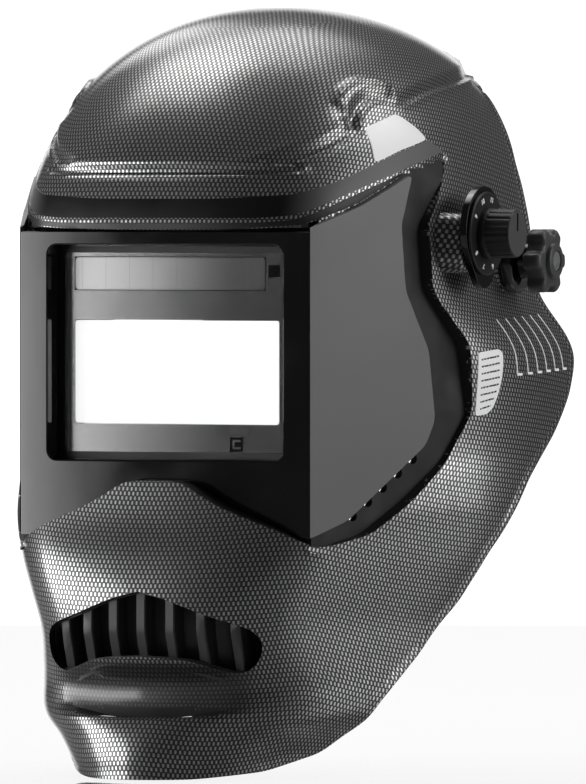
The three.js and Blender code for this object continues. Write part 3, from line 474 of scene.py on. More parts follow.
# Rounded lines along the edge of the cap: place above the edge, height and width.
CAP_LINES = {"groove": (-1.6, -0.9, 1.3), "bead": (0.8, 0.9, 1.2), "lower bead": (-3.4, 0.7, 0.9)}
HORN_LINE = [[-86.5, 64], [-81, 68.6], [-73.5, 71.7], [-66, 72.9], [-60, 71.9], [-56.2, 69.3]]
HORN_LIFT = 1.4
HORN_WIDTH = 1.1
HORN_HOLLOW = ((-87.5, 57.8), 2.8, 1.6)  # middle, radius and depth of the hollow at the foot of the horn
BROW_ROLL = 0.9  # how far the lip over the lens is rolled in
BROW_WIDTH = 2.2
SCOOP_LEVELS = (-159, -179.5, -185)  # top, deepest level and foot of the hollow under the vent
SCOOP_DEPTH = 8.0
SCOOP_HALF = 42
SCOOP_BACK = -100  # only what lies in front of this y is hollowed
RIM_LIFT = 0.7  # rounded rim along the rear edge
RIM_WIDTH = 2.6
RIM_SLOPE = 0.8


def chin_scoop(points):
    """Depth, as a negative height, of the hollow between the vent and the chin."""
    x, y, z = np.moveaxis(points, -1, 0)
    upper, deepest, lower = SCOOP_LEVELS
    share = np.where(z > deepest, 1 - ease(z, deepest, upper), ease(z, lower, deepest))
    return np.where(y < SCOOP_BACK, -SCOOP_DEPTH * np.exp(-(x / SCOOP_HALF) ** 4) * share, 0)


def shell_relief(points):
    """Height over the plain skin: cap, horns, rear rim, rolled brow and hollow chin."""
    side = points[:, :, 1:].reshape(-1, 2)
    from_cap, above_cap = distance_to_line(side, smooth_line(CAP_EDGE))
    signed = np.where(above_cap, from_cap, -from_cap)
    lift = CAP_LIFT * ease(signed, 0, CAP_STEP)
    for place, height, width in CAP_LINES.values():
        lift += height * np.exp(-((signed - place) / width) ** 2)
    from_horn, _ = distance_to_line(side, smooth_line(HORN_LINE))
    lift += HORN_LIFT * np.exp(-(from_horn / HORN_WIDTH) ** 2)
    middle, radius, depth = HORN_HOLLOW
    lift -= depth * np.exp(-(np.linalg.norm(side - middle, axis=1) / radius) ** 2)
    from_rear, _ = distance_to_line(side, REAR_EDGE)
    lift += RIM_LIFT * (1 - ease(from_rear, RIM_WIDTH - RIM_SLOPE, RIM_WIDTH))
    from_brow, _ = distance_to_line(side, BROW_EDGE)
    lift -= BROW_ROLL * (1 - ease(from_brow, 0, BROW_WIDTH))
    return lift.reshape(points.shape[:2]) + chin_scoop(points)


# ---------------------------------------------------------------- shell
SHELL_GRID = ((1.0, 1.7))  # degrees round and millimetres up between points
FAR = 140
CORNER_ROOM = ((-88, -128, -119), (88, -88, -99))  # where the visor's lower corners stand out
CORNER_WALL = 12
RETURN_DEPTH = -14  # the wall round the opening reaches this far out over the visor's faces
LEDGE_WALL = 2.4
LEDGE_WINDOW = ((-64, -135, -88), (64, -100, 14))  # room of the filter's tunnel through the ledge
LEDGE_HOLES = [(-102.8 + 7.2 * i, -103.3 + 5.7 * i) for i in range(5)]  # small holes, as (y, z)
LEDGE_HOLE_RADIUS = 2.2
PAD_RADIUS = 14.5  # round pads inside the pivots
PAD_START = 92
SHADE_HOLE = 3.8


def bell_region(lift):
    """Everything below the upper edge of the muzzle, which the opening leaves standing."""
    half = smooth_line(BELL) + [0, lift]
    line = np.concatenate([half[::-1] * [-1, 1], half[1:]])
    outline = [[line[0][0], -230], *line.tolist(), [line[-1][0], -230]]
    return prism("bell", outline, "Y", -200, -90)


def opening_body(outline, lift):
    return cut(prism("opening", outline, "X", -FAR, FAR), bell_region(lift))


def visor_line(z, back):
    """Right half of the visor's plan at a height, moved back by a distance."""
    line = np.array([[x - lean * max(z - VISOR_LEVEL, 0), y]
                     for (x, y), lean in zip(VISOR_PLAN, VISOR_LEAN)])
    result = []
    for i, point in enumerate(line):
        run = line[min(i + 1, len(line) - 1)] - line[max(i - 1, 0)]
        out = np.array([0, -1.0]) if i == 0 else np.array([run[1], -run[0]]) / np.linalg.norm(run)
        result.append(point - out * back)
    return np.array(result)


def behind_visor(back):
    """Everything behind the visor's faces after they are moved back."""
    sides = []
    for side in (1, -1):
        rings = []
        for z in [-140, VISOR_LEVEL, *range(-50, 61, 10)]:
            line = visor_line(z, back)
            ring = [[-1, line[0][1]], *line.tolist(), [line[-1][0], 40], [-1, 40]]
            rings.append([[side * x, y, z] for x, y in ring])
        sides.append(loft("visor", rings))
    return join(*sides)


def visor_slab(front, back):
    return cut(behind_visor(front), behind_visor(back))


def shade_boss():
    """The rounded boss that carries the shade control."""
    outline = np.array(rounded_rectangle((-BOSS_HALF[0], -BOSS_HALF[1]), BOSS_HALF, BOSS_RADIUS, 12))
    rings = []
    for x, scale in [(88, 1.12), (95, 1.09), (99, 1.05), (101.5, 1.01), (102.6, 0.975), (103, 0.94)]:
        rings.append([[x, BOSS_Y + y, BOSS_Z + z] for y, z in outline * scale])
    return loft("boss", rings)


def vent_prism(margin):
    return prism("vent", grow(mirrored(smooth_line(VENT, 4)), margin), "Y", -200, -100)


def make_shell():
    """The face shell: hollow skin, walled opening for the visor, ledge, boss and pivot pads."""
    outer = skin_body("outer", 0, *SHELL_GRID, shell_relief)
    inner = skin_body("inner", WALL, 3, 2.5, chin_scoop)
    soft_opening = rounded(OPENING, 4)
    big = opening_body(grow(soft_opening, WALL), -WALL)
    ledge_back = PANE + GAP + LEDGE_WALL
    corner = common(block(*CORNER_ROOM), behind_visor(0))
    room = join(copy_of(outer), copy_of(corner))
    return_wall = cut(common(copy_of(big), room, behind_visor(RETURN_DEPTH)),
                      opening_body(soft_opening, 0), behind_visor(ledge_back))
    corner_wall = cut(common(copy_of(big), copy_of(corner)), opening_body(soft_opening, 0),
                      behind_visor(CORNER_WALL))
    holes = [rod(-120, 120, LEDGE_HOLE_RADIUS, (0, *place), 16) for place in LEDGE_HOLES]
    ledge_room = join(skin_body("thin", 0.4, 3, 5), corner)
    ledge = cut(common(visor_slab(PANE + GAP, ledge_back), big, ledge_room),
                opening_body(rounded(LEDGE_HOLE, 4), 6), block(*LEDGE_WINDOW), *holes)
    boss = common(shade_boss(), cut(skin_body("wide", -30, 4, 8), copy_of(inner)))
    tip_layer = cut(skin_body("tip", TIP_INSET, 2, 3), copy_of(inner))
    tip_wall = common(opening_body(grow(soft_opening, 0.5), 0), tip_layer, block(*TIP_ROOM),
                      behind_visor(PANE + GAP))
    pads = [rod(*sorted((side * PAD_START, side * PIVOT_SEAT)), PAD_RADIUS, (0, 0, 0), 64)
            for side in (1, -1)]
    shell = join(cut(outer, inner, opening_body(soft_opening, 0)),
                 return_wall, corner_wall, ledge, tip_wall, boss, *pads)
    shell = cut(shell, vent_prism(0), rod(-130, 130, PIVOT_HOLE / 2, (0, 0, 0)),
                rod(80, 120, SHADE_HOLE, (0, SHADE_Y, SHADE_Z)))
    return common(shell, prism("rear", rounded(REAR_EDGE, 4), "X", -FAR, FAR))


WEAVE_FLAT = 70  # millimetres round from the middle of the face to where the rows begin to droop
WEAVE_DROOP = 0.15
CROWN_LEVEL = 97  # above this height the weave is laid flat across the crown
DEEPEST_CAP = 3.0  # how far below the plain skin the woven outside lies at most, above CAP_FOOT
DEEPEST_SKIN = 1.1  # and below CAP_FOOT
CAP_FOOT = 30


def arc_tables():
    """Lengths along the skin, round from the front and up from the pivots, on a grid."""
    angles = np.radians(np.arange(-180, 180.5, 1.5))
    levels = skin_levels(2.0)
    points = skin(angles[:, None], levels[None, :])
    round_steps = np.linalg.norm(np.diff(points, axis=0), axis=2)
    round_length = np.concatenate([np.zeros((1, len(levels))), np.cumsum(round_steps, axis=0)])
    round_length -= round_length[len(angles) // 2]
    up_steps = np.linalg.norm(np.diff(points, axis=1), axis=2)
    up_length = np.concatenate([np.zeros((len(angles), 1)), np.cumsum(up_steps, axis=1)], axis=1)
    up_length -= up_length[:, np.searchsorted(levels, 0)][:, None]
    return angles, levels, round_length, up_length


def add_weave_coordinates(item):
    """Stores how far round and up the skin each point lies, in millimetres, for the weave."""
    angles, levels, round_length, up_length = arc_tables()
    mesh = item.data
    points = read_all(mesh.vertices, "co")
    angle = np.arctan2(points[:, 0], section(1, points[:, 2]) - points[:, 1])
    a = np.clip((angle - angles[0]) / (angles[1] - angles[0]), 0, len(angles) - 1.001)
    b = np.clip(np.interp(points[:, 2], levels, np.arange(len(levels))), 0, len(levels) - 1.001)
    i, j = a.astype(int), b.astype(int)
    s, t = a - i, b - j

    def read(grid):
        low = grid[i, j] * (1 - s) + grid[i + 1, j] * s
        high = grid[i, j + 1] * (1 - s) + grid[i + 1, j + 1] * s
        return low * (1 - t) + high * t

    around = read(round_length)
    droop = WEAVE_DROOP * np.maximum(np.abs(around) - WEAVE_FLAT, 0)
    values = np.stack([around, read(up_length) + droop], 1)
    seam = skin(0.0, CROWN_LEVEL)
    rise = np.interp(CROWN_LEVEL, levels, up_length[len(angles) // 2])
    laid_flat = np.stack([points[:, 0], points[:, 1] - seam[1] + rise], 1)
    corners = read_all(mesh.loops, "vertex_index", 1, np.int32).ravel()
    counts = read_all(mesh.polygons, "loop_total", 1, np.int32).ravel()
    on_crown = np.repeat(read_all(mesh.polygons, "center")[:, 2] > CROWN_LEVEL, counts)
    values = np.where(on_crown[:, None], laid_flat[corners], values[corners])
    layer = mesh.uv_layers.new(name="weave")
    layer.data.foreach_set("uv", values.ravel())


def inside_outline(points, outline):
    """Which points lie inside a closed outline."""
    outline = np.asarray(outline, float)
    inside = np.zeros(len(points), bool)
    for (a0, b0), (a1, b1) in zip(outline, np.roll(outline, -1, 0)):
        if b0 == b1:
            continue
        crosses = (points[:, 1] > b0) != (points[:, 1] > b1)
        at = a0 + (points[:, 1] - b0) * (a1 - a0) / (b1 - b0)
        inside ^= crosses & (points[:, 0] < at)
    return inside


def split_shell_faces(item):
    """Second material for all that isn't the woven outside: inside, ledge and edges."""
    mesh = item.data
    centres, normals = read_all(mesh.polygons, "center"), read_all(mesh.polygons, "normal")
    away = np.stack([centres[:, 0], centres[:, 1] - section(1, centres[:, 2])], 1)
    angle = np.arctan2(away[:, 0], -away[:, 1])
    height = np.minimum(centres[:, 2], SHELL_TOP - 0.5)
    skin_point = skin(angle, height)
    skin_reach = np.hypot(skin_point[:, 0], skin_point[:, 1] - section(1, height))
    allowed = np.where(centres[:, 2] > CAP_FOOT, DEEPEST_CAP, DEEPEST_SKIN) - chin_scoop(centres) * 1.1
    near_skin = (np.hypot(*away.T) > skin_reach - allowed) | (centres[:, 2] > SHELL_TOP - 2)
    faces_out = (normals[:, :2] * away).sum(1) + normals[:, 2] * np.maximum(centres[:, 2], 0) > 0
    bell = np.interp(np.abs(centres[:, 0]), *np.array(BELL).T, right=-400)
    muzzle = centres[:, 2] < bell + 0.3
    recess = inside_outline(centres[:, 1:], grow(rounded(OPENING, 4), -0.1)) & ~muzzle
    woven_face = near_skin & faces_out & ~recess
    mesh.polygons.foreach_set("material_index", np.where(woven_face, 0, 1).astype(np.int32))


# ---------------------------------------------------------------- materials
class Nodes:
    """Short calls for the nodes of one new material, or of a light or a world."""

    def __init__(self, name, owner=None):
        self.owner = owner or bpy.data.materials.new(name)
        self.owner.use_nodes = True
        self.tree = self.owner.node_tree
        self.shader = self.tree.nodes.get("Principled BSDF")

    def add(self, kind, **values):
        node = self.tree.nodes.new("ShaderNode" + kind)
        for key, value in values.items():
            setattr(node, key, value)
        return node

    def link(self, source, target):
        self.tree.links.new(source, target)

    def feed(self, socket, value):
        if isinstance(value, bpy.types.NodeSocket):
            self.link(value, socket)
        else:
            socket.default_value = value

    def math(self, operation, a, b=0.0):
        node = self.add("Math", operation=operation)
        for socket, value in zip(node.inputs, (a, b)):
            self.feed(socket, value)
        return node.outputs[0]

    def remap(self, value, from_low, from_high, to_low, to_high, smooth=False):
        node = self.add("MapRange", interpolation_type="SMOOTHSTEP" if smooth else "LINEAR")
        for socket, setting in zip(node.inputs, (value, from_low, from_high, to_low, to_high)):
            self.feed(socket, setting)
        return node.outputs[0]

    def mix(self, share, a, b):
        node = self.add("Mix", data_type="RGBA")
        for socket, value in ((node.inputs[0], share), (node.inputs[6], a), (node.inputs[7], b)):
            self.feed(socket, value)
        return node.outputs[2]

    def coordinates(self):
        return self.add("TexCoord").outputs["Object"]

    def noise(self, scale, detail):
        node = self.add("TexNoise")
        self.link(self.coordinates(), node.inputs["Vector"])
        node.inputs["Scale"].default_value = scale
        node.inputs["Detail"].default_value = detail
        return node.outputs["Fac"]

    def split(self, vector=None):
        """The three parts of a vector, or of the object's own coordinates, in metres."""
        node = self.add("SeparateXYZ")
        self.link(vector or self.coordinates(), node.inputs[0])
        return node.outputs

    def uneven(self, scale, detail, low, high):
        """Roughness that wanders between two values."""
        return self.remap(self.noise(scale, detail), 0.3, 0.7, low, high)

    def bump(self, height, strength, distance):
        node = self.add("Bump")
        node.inputs["Strength"].default_value = strength
        node.inputs["Distance"].default_value = distance
        self.link(height, node.inputs["Height"])
        self.link(node.outputs[0], self.shader.inputs["Normal"])

    def set(self, **values):
        for key, value in values.items():
            self.feed(self.shader.inputs[key.replace("_", " ")], value)
        return self.owner


def grey(value):
    return (value, value, value, 1.0)


def plastic(name, shade, roughness):
    """Moulded plastic: fine grain in the surface, faint cloudiness and uneven roughness."""
    n = Nodes(name)
    rough = n.uneven(70, 5, roughness * 0.85, min(1, roughness * 1.2))
    n.bump(n.noise(2400, 2), 0.35, 0.00004)
    return n.set(Base_Color=n.mix(n.noise(18, 4), grey(shade * 0.82), grey(shade * 1.12)),
                 Roughness=rough, IOR=1.45)


def gloss(name, shade):
    """Polished black plastic with faint dust and hairline waviness."""
    n = Nodes(name)
    dust = n.remap(n.noise(900, 2), 0.62, 0.8, 0, 1, True)
    rough = n.remap(n.noise(40, 6), 0.35, 0.75, 0.035, 0.11)
    n.bump(n.noise(26, 2), 0.05, 0.0006)
    return n.set(Base_Color=n.mix(dust, grey(shade), grey(shade * 1.6 + 0.002)), Roughness=rough, IOR=1.6)


def metal(name, colour, roughness):
    """Turned or drawn metal with fine scratches."""
    n = Nodes(name)
    rough = n.uneven(220, 6, roughness * 0.95, roughness * 1.5)
    stain = n.noise(30, 4)
    n.bump(n.noise(1800, 3), 0.2, 0.00002)
    return n.set(Base_Color=n.mix(stain, (*[c * 0.8 for c in colour], 1), (*colour, 1)),
                 Roughness=rough, Metallic=1.0)


WEAVE_PITCH = 1.95  # millimetres between the dashes of a row
WEAVE_ROW = 1.95  # millimetres from row to row; every other row is shifted by half a pitch
SHADED_THREAD_SHARE = 0.12  # how much of the threads shows in the hollow under the vent, painted shade that keeps it dark


def painted_shade_in_hollow(n):
    """1 in the hollow under the vent and 0 elsewhere; there the threads are shown faint, painted shade that
    keeps the hollow dark.
    """
    place = n.split()
    upper, _, foot = [level * METRES for level in SCOOP_LEVELS]
    half = SCOOP_HALF * METRES
    under = n.remap(place[2], upper - 0.006, upper + 0.0005, 1, 0, True)
    over = n.remap(place[2], foot + 0.001, foot + 0.003, 0, 1, True)
    across = n.remap(n.math("ABSOLUTE", place[0]), half * 0.8, half * 1.25, 1, 0, True)
    front = n.remap(place[1], -0.11, -0.1, 1, 0, True)
    return n.math("MULTIPLY", n.math("MULTIPLY", under, over), n.math("MULTIPLY", across, front))


def woven(name):
    """Black resin with staggered silver-grey dashes under a clear gloss coat."""
    n = Nodes(name)
    place = n.split(n.add("UVMap", uv_map="weave").outputs[0])
    up = n.math("DIVIDE", place[1], WEAVE_ROW)
    row = n.math("FLOOR", up)
    shift = n.math("MULTIPLY", n.math("MODULO", n.math("ABSOLUTE", row), 2.0), 0.5)
    across = n.math("ADD", n.math("DIVIDE", place[0], WEAVE_PITCH), shift)
    from_side = n.math("ABSOLUTE", n.math("SUBTRACT", n.math("FRACT", across), 0.5))
    from_end = n.math("ABSOLUTE", n.math("SUBTRACT", n.math("FRACT", up), 0.5))
    narrow = n.remap(from_side, 0.10, 0.30, 1, 0, True)
    short = n.remap(from_end, 0.28, 0.46, 1, 0.03, True)
    dash = n.math("MULTIPLY", narrow, short)
    cell = n.add("CombineXYZ")
    n.link(n.math("FLOOR", across), cell.inputs[0])
    n.link(row, cell.inputs[1])
    chance = n.add("TexWhiteNoise", noise_dimensions="3D")
    n.link(cell.outputs[0], chance.inputs["Vector"])
    lit = n.math("MULTIPLY", dash, n.remap(chance.outputs["Value"], 0, 1, 0.8, 1.0))
    # Painted shade: the threads are made faint in the hollow under the vent.
    lit = n.math("MULTIPLY", lit, n.remap(painted_shade_in_hollow(n), 0, 1, 1, SHADED_THREAD_SHARE, True))
    thread = n.mix(n.noise(24, 3), grey(0.52), grey(0.64))
    resin = n.mix(short, grey(0.004), grey(0.018))
    n.bump(dash, 0.2, 0.0001)
    return n.set(Base_Color=n.mix(lit, resin, thread), Roughness=n.remap(lit, 0, 1, 0.5, 0.28),
                 Metallic=n.remap(lit, 0, 1, 0.2, 0.93), Coat_Weight=1.0,
                 Coat_Roughness=0.075, Coat_IOR=1.36)


def tinted(name):
    """Smoked pane: even grey with a polished face."""
    n = Nodes(name)
    tone = n.mix(n.noise(8, 2), grey(0.20), grey(0.215))
    rough = n.uneven(50, 4, 0.30, 0.36)
    return n.set(Base_Color=tone, Roughness=rough, IOR=1.35)


def clear(name):
    """Clear polycarbonate sheet with a trace of wear: nearly all of it lets light straight through."""
    n = Nodes(name)
    rough = n.uneven(120, 5, 0.10, 0.13)
    return n.set(Base_Color=grey(0.02), Roughness=rough, IOR=1.45, Alpha=0.06)


def coated(name):
    """Coated glass of the cartridge: a mirror whose colour fades from light to dark grey across it, a
    painted reflection.
    """
    n = Nodes(name)
    # Painted reflection: the glass is lighter towards -X and darker towards +X.
    fade = n.remap(n.split()[0], -0.056, 0.030, 0, 1, True)
    tone = n.mix(fade, grey(0.22), grey(0.06))
    rough = n.uneven(60, 3, 0.20, 0.24)
    return n.set(Base_Color=tone, Roughness=rough, Metallic=0.85)


def liquid_crystal(name):
    """Cell of the dark filter in its clear state, near white, and made to glow: painted light."""
    n = Nodes(name)
    tone = n.mix(n.noise(14, 2), grey(0.93), grey(0.99))
    rough = n.uneven(60, 3, 0.05, 0.1)
    # The emission is painted light; the cell is no lamp.
    return n.set(Base_Color=tone, Roughness=rough, IOR=1.3, Emission_Color=grey(1.0), Emission_Strength=0.8)


CELL_PITCH = 0.0107  # metres between the dividing lines of the solar strip


def solar(name):
    """Solar strip: grey cells with fine dividing lines, under a painted reflection that fades from light at
    one end to dark at the other.
    """
    n = Nodes(name)
    along = n.split()[0]
    cell = n.math("FRACT", n.math("DIVIDE", along, CELL_PITCH))
    line = n.remap(n.math("ABSOLUTE", n.math("SUBTRACT", cell, 0.5)), 0.47, 0.5, 0, 1, True)
    # Painted reflection: the cells are lighter towards -X and darker towards +X.
    fade = n.remap(along, -0.050, 0.030, 0, 1, True)
    tone = n.mix(n.math("MULTIPLY", line, 0.25), n.mix(fade, grey(0.75), grey(0.06)), grey(0.12))
    rough = n.uneven(80, 4, 0.30, 0.36)
    return n.set(Base_Color=tone, Roughness=rough, Metallic=0.3, Coat_Weight=0.5)


def fabric(name):
    """Knitted terry of the sweatband."""
    n = Nodes(name)
    loops = n.add("TexVoronoi")
    n.link(n.coordinates(), loops.inputs["Vector"])
    loops.inputs["Scale"].default_value = 900
    tone = n.mix(n.noise(60, 5), grey(0.018), grey(0.045))
    n.bump(loops.outputs["Distance"], 0.7, 0.0005)
    return n.set(Base_Color=tone, Roughness=n.remap(n.noise(100, 3), 0, 1, 0.85, 1.0), Sheen_Weight=0.5,
                 Sheen_Roughness=0.5)


def sticker(name, shade, glow=0.0):
    """Printed vinyl film; the pale ones throw light back, and a little glow of painted light stands in for
    that.
    """
    n = Nodes(name)
    tone = n.mix(n.noise(30, 3), grey(shade * 0.95), grey(min(1, shade * 1.04)))
    rough = n.uneven(90, 4, 0.3, 0.4)
    n.bump(n.noise(400, 2), 0.15, 0.00003)
    return n.set(Base_Color=tone, Roughness=rough, IOR=1.4, Coat_Weight=0.4, Coat_Roughness=0.08,
                 Emission_Color=tone, Emission_Strength=glow)


def band_film(name):
    """Printed band over the brow: black in front and mid grey on the slopes of the sides."""
    n = Nodes(name)
    slope = n.remap(n.math("ABSOLUTE", n.split()[0]), 0.052, 0.072, 0, 1, True)
    rough = n.uneven(90, 4, 0.3, 0.4)
    n.bump(n.noise(400, 2), 0.15, 0.00003)
    return n.set(Base_Color=n.mix(slope, grey(0.006), grey(0.17)), Roughness=rough, IOR=1.4)


WOVEN = woven("carbon_weave")
GLOSS = gloss("gloss_black_plastic", 0.004)
LINING = plastic("shell_lining", 0.012, 0.55)
MATT = plastic("matt_black_plastic", 0.013, 0.42)
RUBBER = plastic("cable_rubber", 0.012, 0.6)
GREY = plastic("grey_plastic", 0.10, 0.42)
PANE_MATERIAL = tinted("smoked_pane")
CLEAR = clear("clear_polycarbonate")
COATED_PAINTED_REFLECTION = coated("coated_glass")
CRYSTAL_PAINTED_GLOW = liquid_crystal("liquid_crystal_cell")
SOLAR_PAINTED_REFLECTION = solar("solar_cells")
STEEL = metal("zinc_steel", (0.62, 0.63, 0.64), 0.32)
BRASS = metal("brass", (0.70, 0.52, 0.24), 0.3)
FABRIC = fabric("terry_fabric")
# The glow given to these films is painted light.
PALE_FILM = sticker("pale_film", 0.66, 0.55)
WHITE_FILM = sticker("white_film", 0.80, 0.35)
BAND_GREY = band_film("grey_band_film")
VENT_BLACK = plastic("vent_plastic", 0.05, 0.34)
KNOB_END = plastic("knob_end_plastic", 0.09, 0.4)
STAR_GREY = plastic("star_knob_plastic", 0.075, 0.38)
BAND_PLASTIC = plastic("strap_plastic", 0.014, 0.5)

SLOT_MATERIALS = {
    "woven_black": WOVEN, "gloss_black": GLOSS, "matt_black": MATT, "grey_plastic": GREY,
    "tinted_pane": PANE_MATERIAL, "clear_pane": CLEAR, "coated_glass": COATED_PAINTED_REFLECTION,
    "liquid_crystal": CRYSTAL_PAINTED_GLOW, "solar_cell": SOLAR_PAINTED_REFLECTION, "steel": STEEL, "brass": BRASS,
    "soft_pad": FABRIC, "cable_sleeve": RUBBER,
}


def paint_cad_nodes():
    """Gives every CAD node that stays the detailed material of its slot."""
    slots = {row["node"]: row["material_slot"] for row in frame["record"]["subparts"]}
    for name, node in NODES.items():
        material = SLOT_MATERIALS[slots[name]]
        node.data.materials.clear()
        node.data.materials.append(material)


# ---------------------------------------------------------------- front panel, windows and filter
OPENING_DRAFT = 1.0  # how much wider the lens opening is at the panel's face than at its back


def make_front_panel():
    """Flat glossy panel whose lower edge follows the muzzle, with the tunnel to the filter."""
    bell = smooth_line(BELL)[::-1] + [0, 0.5]
    bell = bell[bell[:, 0] < 60.5]
    half = [[0, 12.4], [PANEL_HALF, 12.4], [PANEL_HALF, -112], [60.5, -112], *bell.tolist()]
    plate = prism("panel", mirrored(half), "Y", -127, -127 + PANE)
    w, t, b = TUNNEL["half"], TUNNEL["top"], TUNNEL["bottom"]
    rim = prism("rim", rounded_rectangle((-w - 2, b - 2), (w + 2, t + 2), 5), "Y",
                -125.5, HOLDER_FRONT - GAP)
    rings = []
    for y, wide in [(-100, 0), (-124.5, 0), (-126.6, OPENING_DRAFT - 0.4),
                    (-127.2, OPENING_DRAFT + 0.4)]:
        outline = rounded_rectangle((-w - wide, b - wide), (w + wide, t + wide), 3.5 + wide)
        rings.append(np.insert(np.array(outline), 1, y, axis=1))
    panel = cut(join(plate, rim), loft("tunnel", rings))
    bevel(panel, 0.35, 3, 50)
    finish_piece(panel, "front_panel_gloss", "mask", [GLOSS], ["front_panel"], flat=True)


def make_side_windows():
    """Smoked panes that carry the visor's faces round the sides, with a soft vertical crease."""
    for side, name in SIDES:
        low, high = sorted((side * (PANEL_HALF + GAP), side * 110))
        pane = common(visor_slab(0, PANE), opening_body(rounded(VISOR, 3), 0.8),
                      block((low, -127, -120), (high, -40, 40)))
        finish_piece(pane, "side_pane_" + name, "mask", [PANE_MATERIAL],
                     ["side_window_" + name], sharp=5)


def make_filter_face():
    """Solar strip and dark cell with rounded corners, and a mark on the sensor; the coated glass round them
    is the CAD part's.
    """
    strip = prism("strip", rounded_rectangle((-46, -11.5), (40, 1.8), 1.6), "Y", -115.3, -112.5)
    finish_piece(bevel(strip, 0.15, 2), "solar_cells", "mask", [SOLAR_PAINTED_REFLECTION], ["solar_strip"],
                 flat=True)
    mark = cut(prism("mark", rounded_rectangle((25.2, -76.2), (28.8, -72.6), 0.3), "Y", -115.28, -115.22),
               block((26, -116, -75.4), (30, -115, -73.4)))
    finish_piece(mark, "sensor_mark", "mask", [GREY])
    cell = prism("cell", rounded_rectangle((-46, -66), (46, -24), 1.2), "Y", -115.2, -108.7)
    finish_piece(bevel(cell, 0.15, 2), "dark_cell", "mask", [CRYSTAL_PAINTED_GLOW], ["lcd_glass"],
                 flat=True)


# ---------------------------------------------------------------- chin vent
RIB_FACE = 4.4
RIB_LEVELS = (-172, -166, -160, -154, -151, -149, -147, -143, -138, -132)
RIB_BEND = -150  # below this height a rib leans back
RIB_LEAN = 0.36
RIB_DEPTH = 26
TRAY_DEPTH = 12


def make_vent_grille():
    """Tray behind the chin vent with seven upright ribs, bent back in their lower half."""
    outline = mirrored(smooth_line(VENT, 4))

    def deep(start, end, margin):
        layer = cut(skin_body("far", WALL + GAP + start, 3, 4),
                    skin_body("near", WALL + GAP + end, 3, 4))
        return common(layer, prism("vent", grow(outline, margin), "Y", -200, -100))

    flange = cut(deep(0, 2.2, 5), vent_prism(-0.6))
    tray = cut(deep(0, TRAY_DEPTH, 2.6), deep(-1, TRAY_DEPTH - 2, 0.6))
    grille = join(flange, tray)
    half = RIB_FACE / 2
    for i in range(RIBS):
        x = RIB_PITCH * (i - (RIBS - 1) / 2)
        face = skin_front(x, RIB_BEND, WALL + GAP) + 0.6
        rings = []
        for z in RIB_LEVELS:
            front = face + RIB_LEAN * max(0, RIB_BEND - z)
            back = front + RIB_DEPTH
            corners = [[-half, front + 0.7], [0.5 - half, front], [half - 0.5, front], [half, front + 0.7],
                       [half * 0.55, back], [-half * 0.55, back]]
            rings.append([[x + across, y, z] for across, y in corners])
        grille = join(grille, common(loft("rib", rings), deep(0.3, TRAY_DEPTH - 1, 1.5)))
    finish_piece(grille, "chin_vent_grille", "mask", [VENT_BLACK], ["vent_grille"])


# ---------------------------------------------------------------- shade control
SHADE_PLATE_X = 106.3
SHADE_DIAL_X = 107.8
SHADE_KNOB_X = 121
DIAL_FIGURES = ["9", "10", "11", "12", "13", "5", "6", "7", "8"]
DIAL_FIRST = 150  # degrees of the first figure
DIAL_PITCH = 37
DIAL_RADIUS = 14
FIGURE_SIZE = 3.1


def make_shade_housing():
    """Drop-shaped plate under the dial."""
    upper = [[SHADE_Y + 18.4 * math.cos(a), SHADE_Z + 1 + 18.4 * math.sin(a)]
             for a in np.radians(np.linspace(-27, 207, 40))]
    lower = [[SHADE_Y + 10 * math.cos(a), SHADE_Z - 12.5 + 10 * math.sin(a)]
             for a in np.radians(np.linspace(216, 324, 20))]
    plate = prism("plate", upper + lower, "X", 103 + GAP, SHADE_PLATE_X)
    plate = cut(plate, rod(90, 130, 4.6, (0, SHADE_Y, SHADE_Z)))
    bevel(plate, 0.7, 3)
    finish_piece(plate, "shade_plate", "mask", [GLOSS], ["shade_housing"], flat=True)


def make_shade_dial():
    """Turning dial with a ring of plain figures."""
    x = SHADE_PLATE_X + GAP
    middle = (0, SHADE_Y, SHADE_Z)
    dial = cut(turned("dial", [[x, 17.2], [SHADE_DIAL_X - 0.4, 17.2], [SHADE_DIAL_X, 16.7]], 72, middle),
               rod(90, 130, 6, middle))
    finish_piece(dial, "shade_dial_ring", "shade_turn", [MATT], ["shade_dial"])
    parts = []
    for i, figure in enumerate(DIAL_FIGURES):
        angle = math.radians(DIAL_FIRST - DIAL_PITCH * i)
        place = (SHADE_DIAL_X + 0.12, SHADE_Y + DIAL_RADIUS * math.cos(angle),
                 SHADE_Z + DIAL_RADIUS * math.sin(angle))
        parts.append(make_figure(figure, place, angle))
    finish_piece(merge("dial_figures", parts), "dial_figures", "shade_turn", [WHITE_FILM])


def make_figure(text, place, angle):
    """A raised figure on a face that looks along +X, turned to stand on the dial's rim."""
    curve = bpy.data.curves.new("figure", "FONT")
    curve.body = text
    curve.size = FIGURE_SIZE
    curve.align_x = "CENTER"
    curve.align_y = "CENTER"
    curve.extrude = 0.1
    curve.resolution_u = 3
    holder = placed("figure", curve)
    graph = bpy.context.evaluated_depsgraph_get()
    mesh = bpy.data.meshes.new_from_object(holder.evaluated_get(graph))
    bpy.data.objects.remove(holder)
    bpy.data.curves.remove(curve)
    upright = Matrix(((0, 0, 1, 0), (1, 0, 0, 0), (0, 1, 0, 0), (0, 0, 0, 1)))
    turn = Matrix.Rotation(angle - math.pi / 2, 4, "X")
    mesh.transform(Matrix.Translation(place) @ turn @ upright)
    return placed("figure", mesh)


def merge(name, items):
    """One object from several meshes that stay apart."""
    shape = bmesh.new()
    for item in items:
        shape.from_mesh(item.data)
        discard(item)
    bmesh.ops.remove_doubles(shape, verts=shape.verts, dist=0.001)
    mesh = bpy.data.meshes.new(name)
    shape.to_mesh(mesh)
    shape.free()
    return placed(name, mesh)


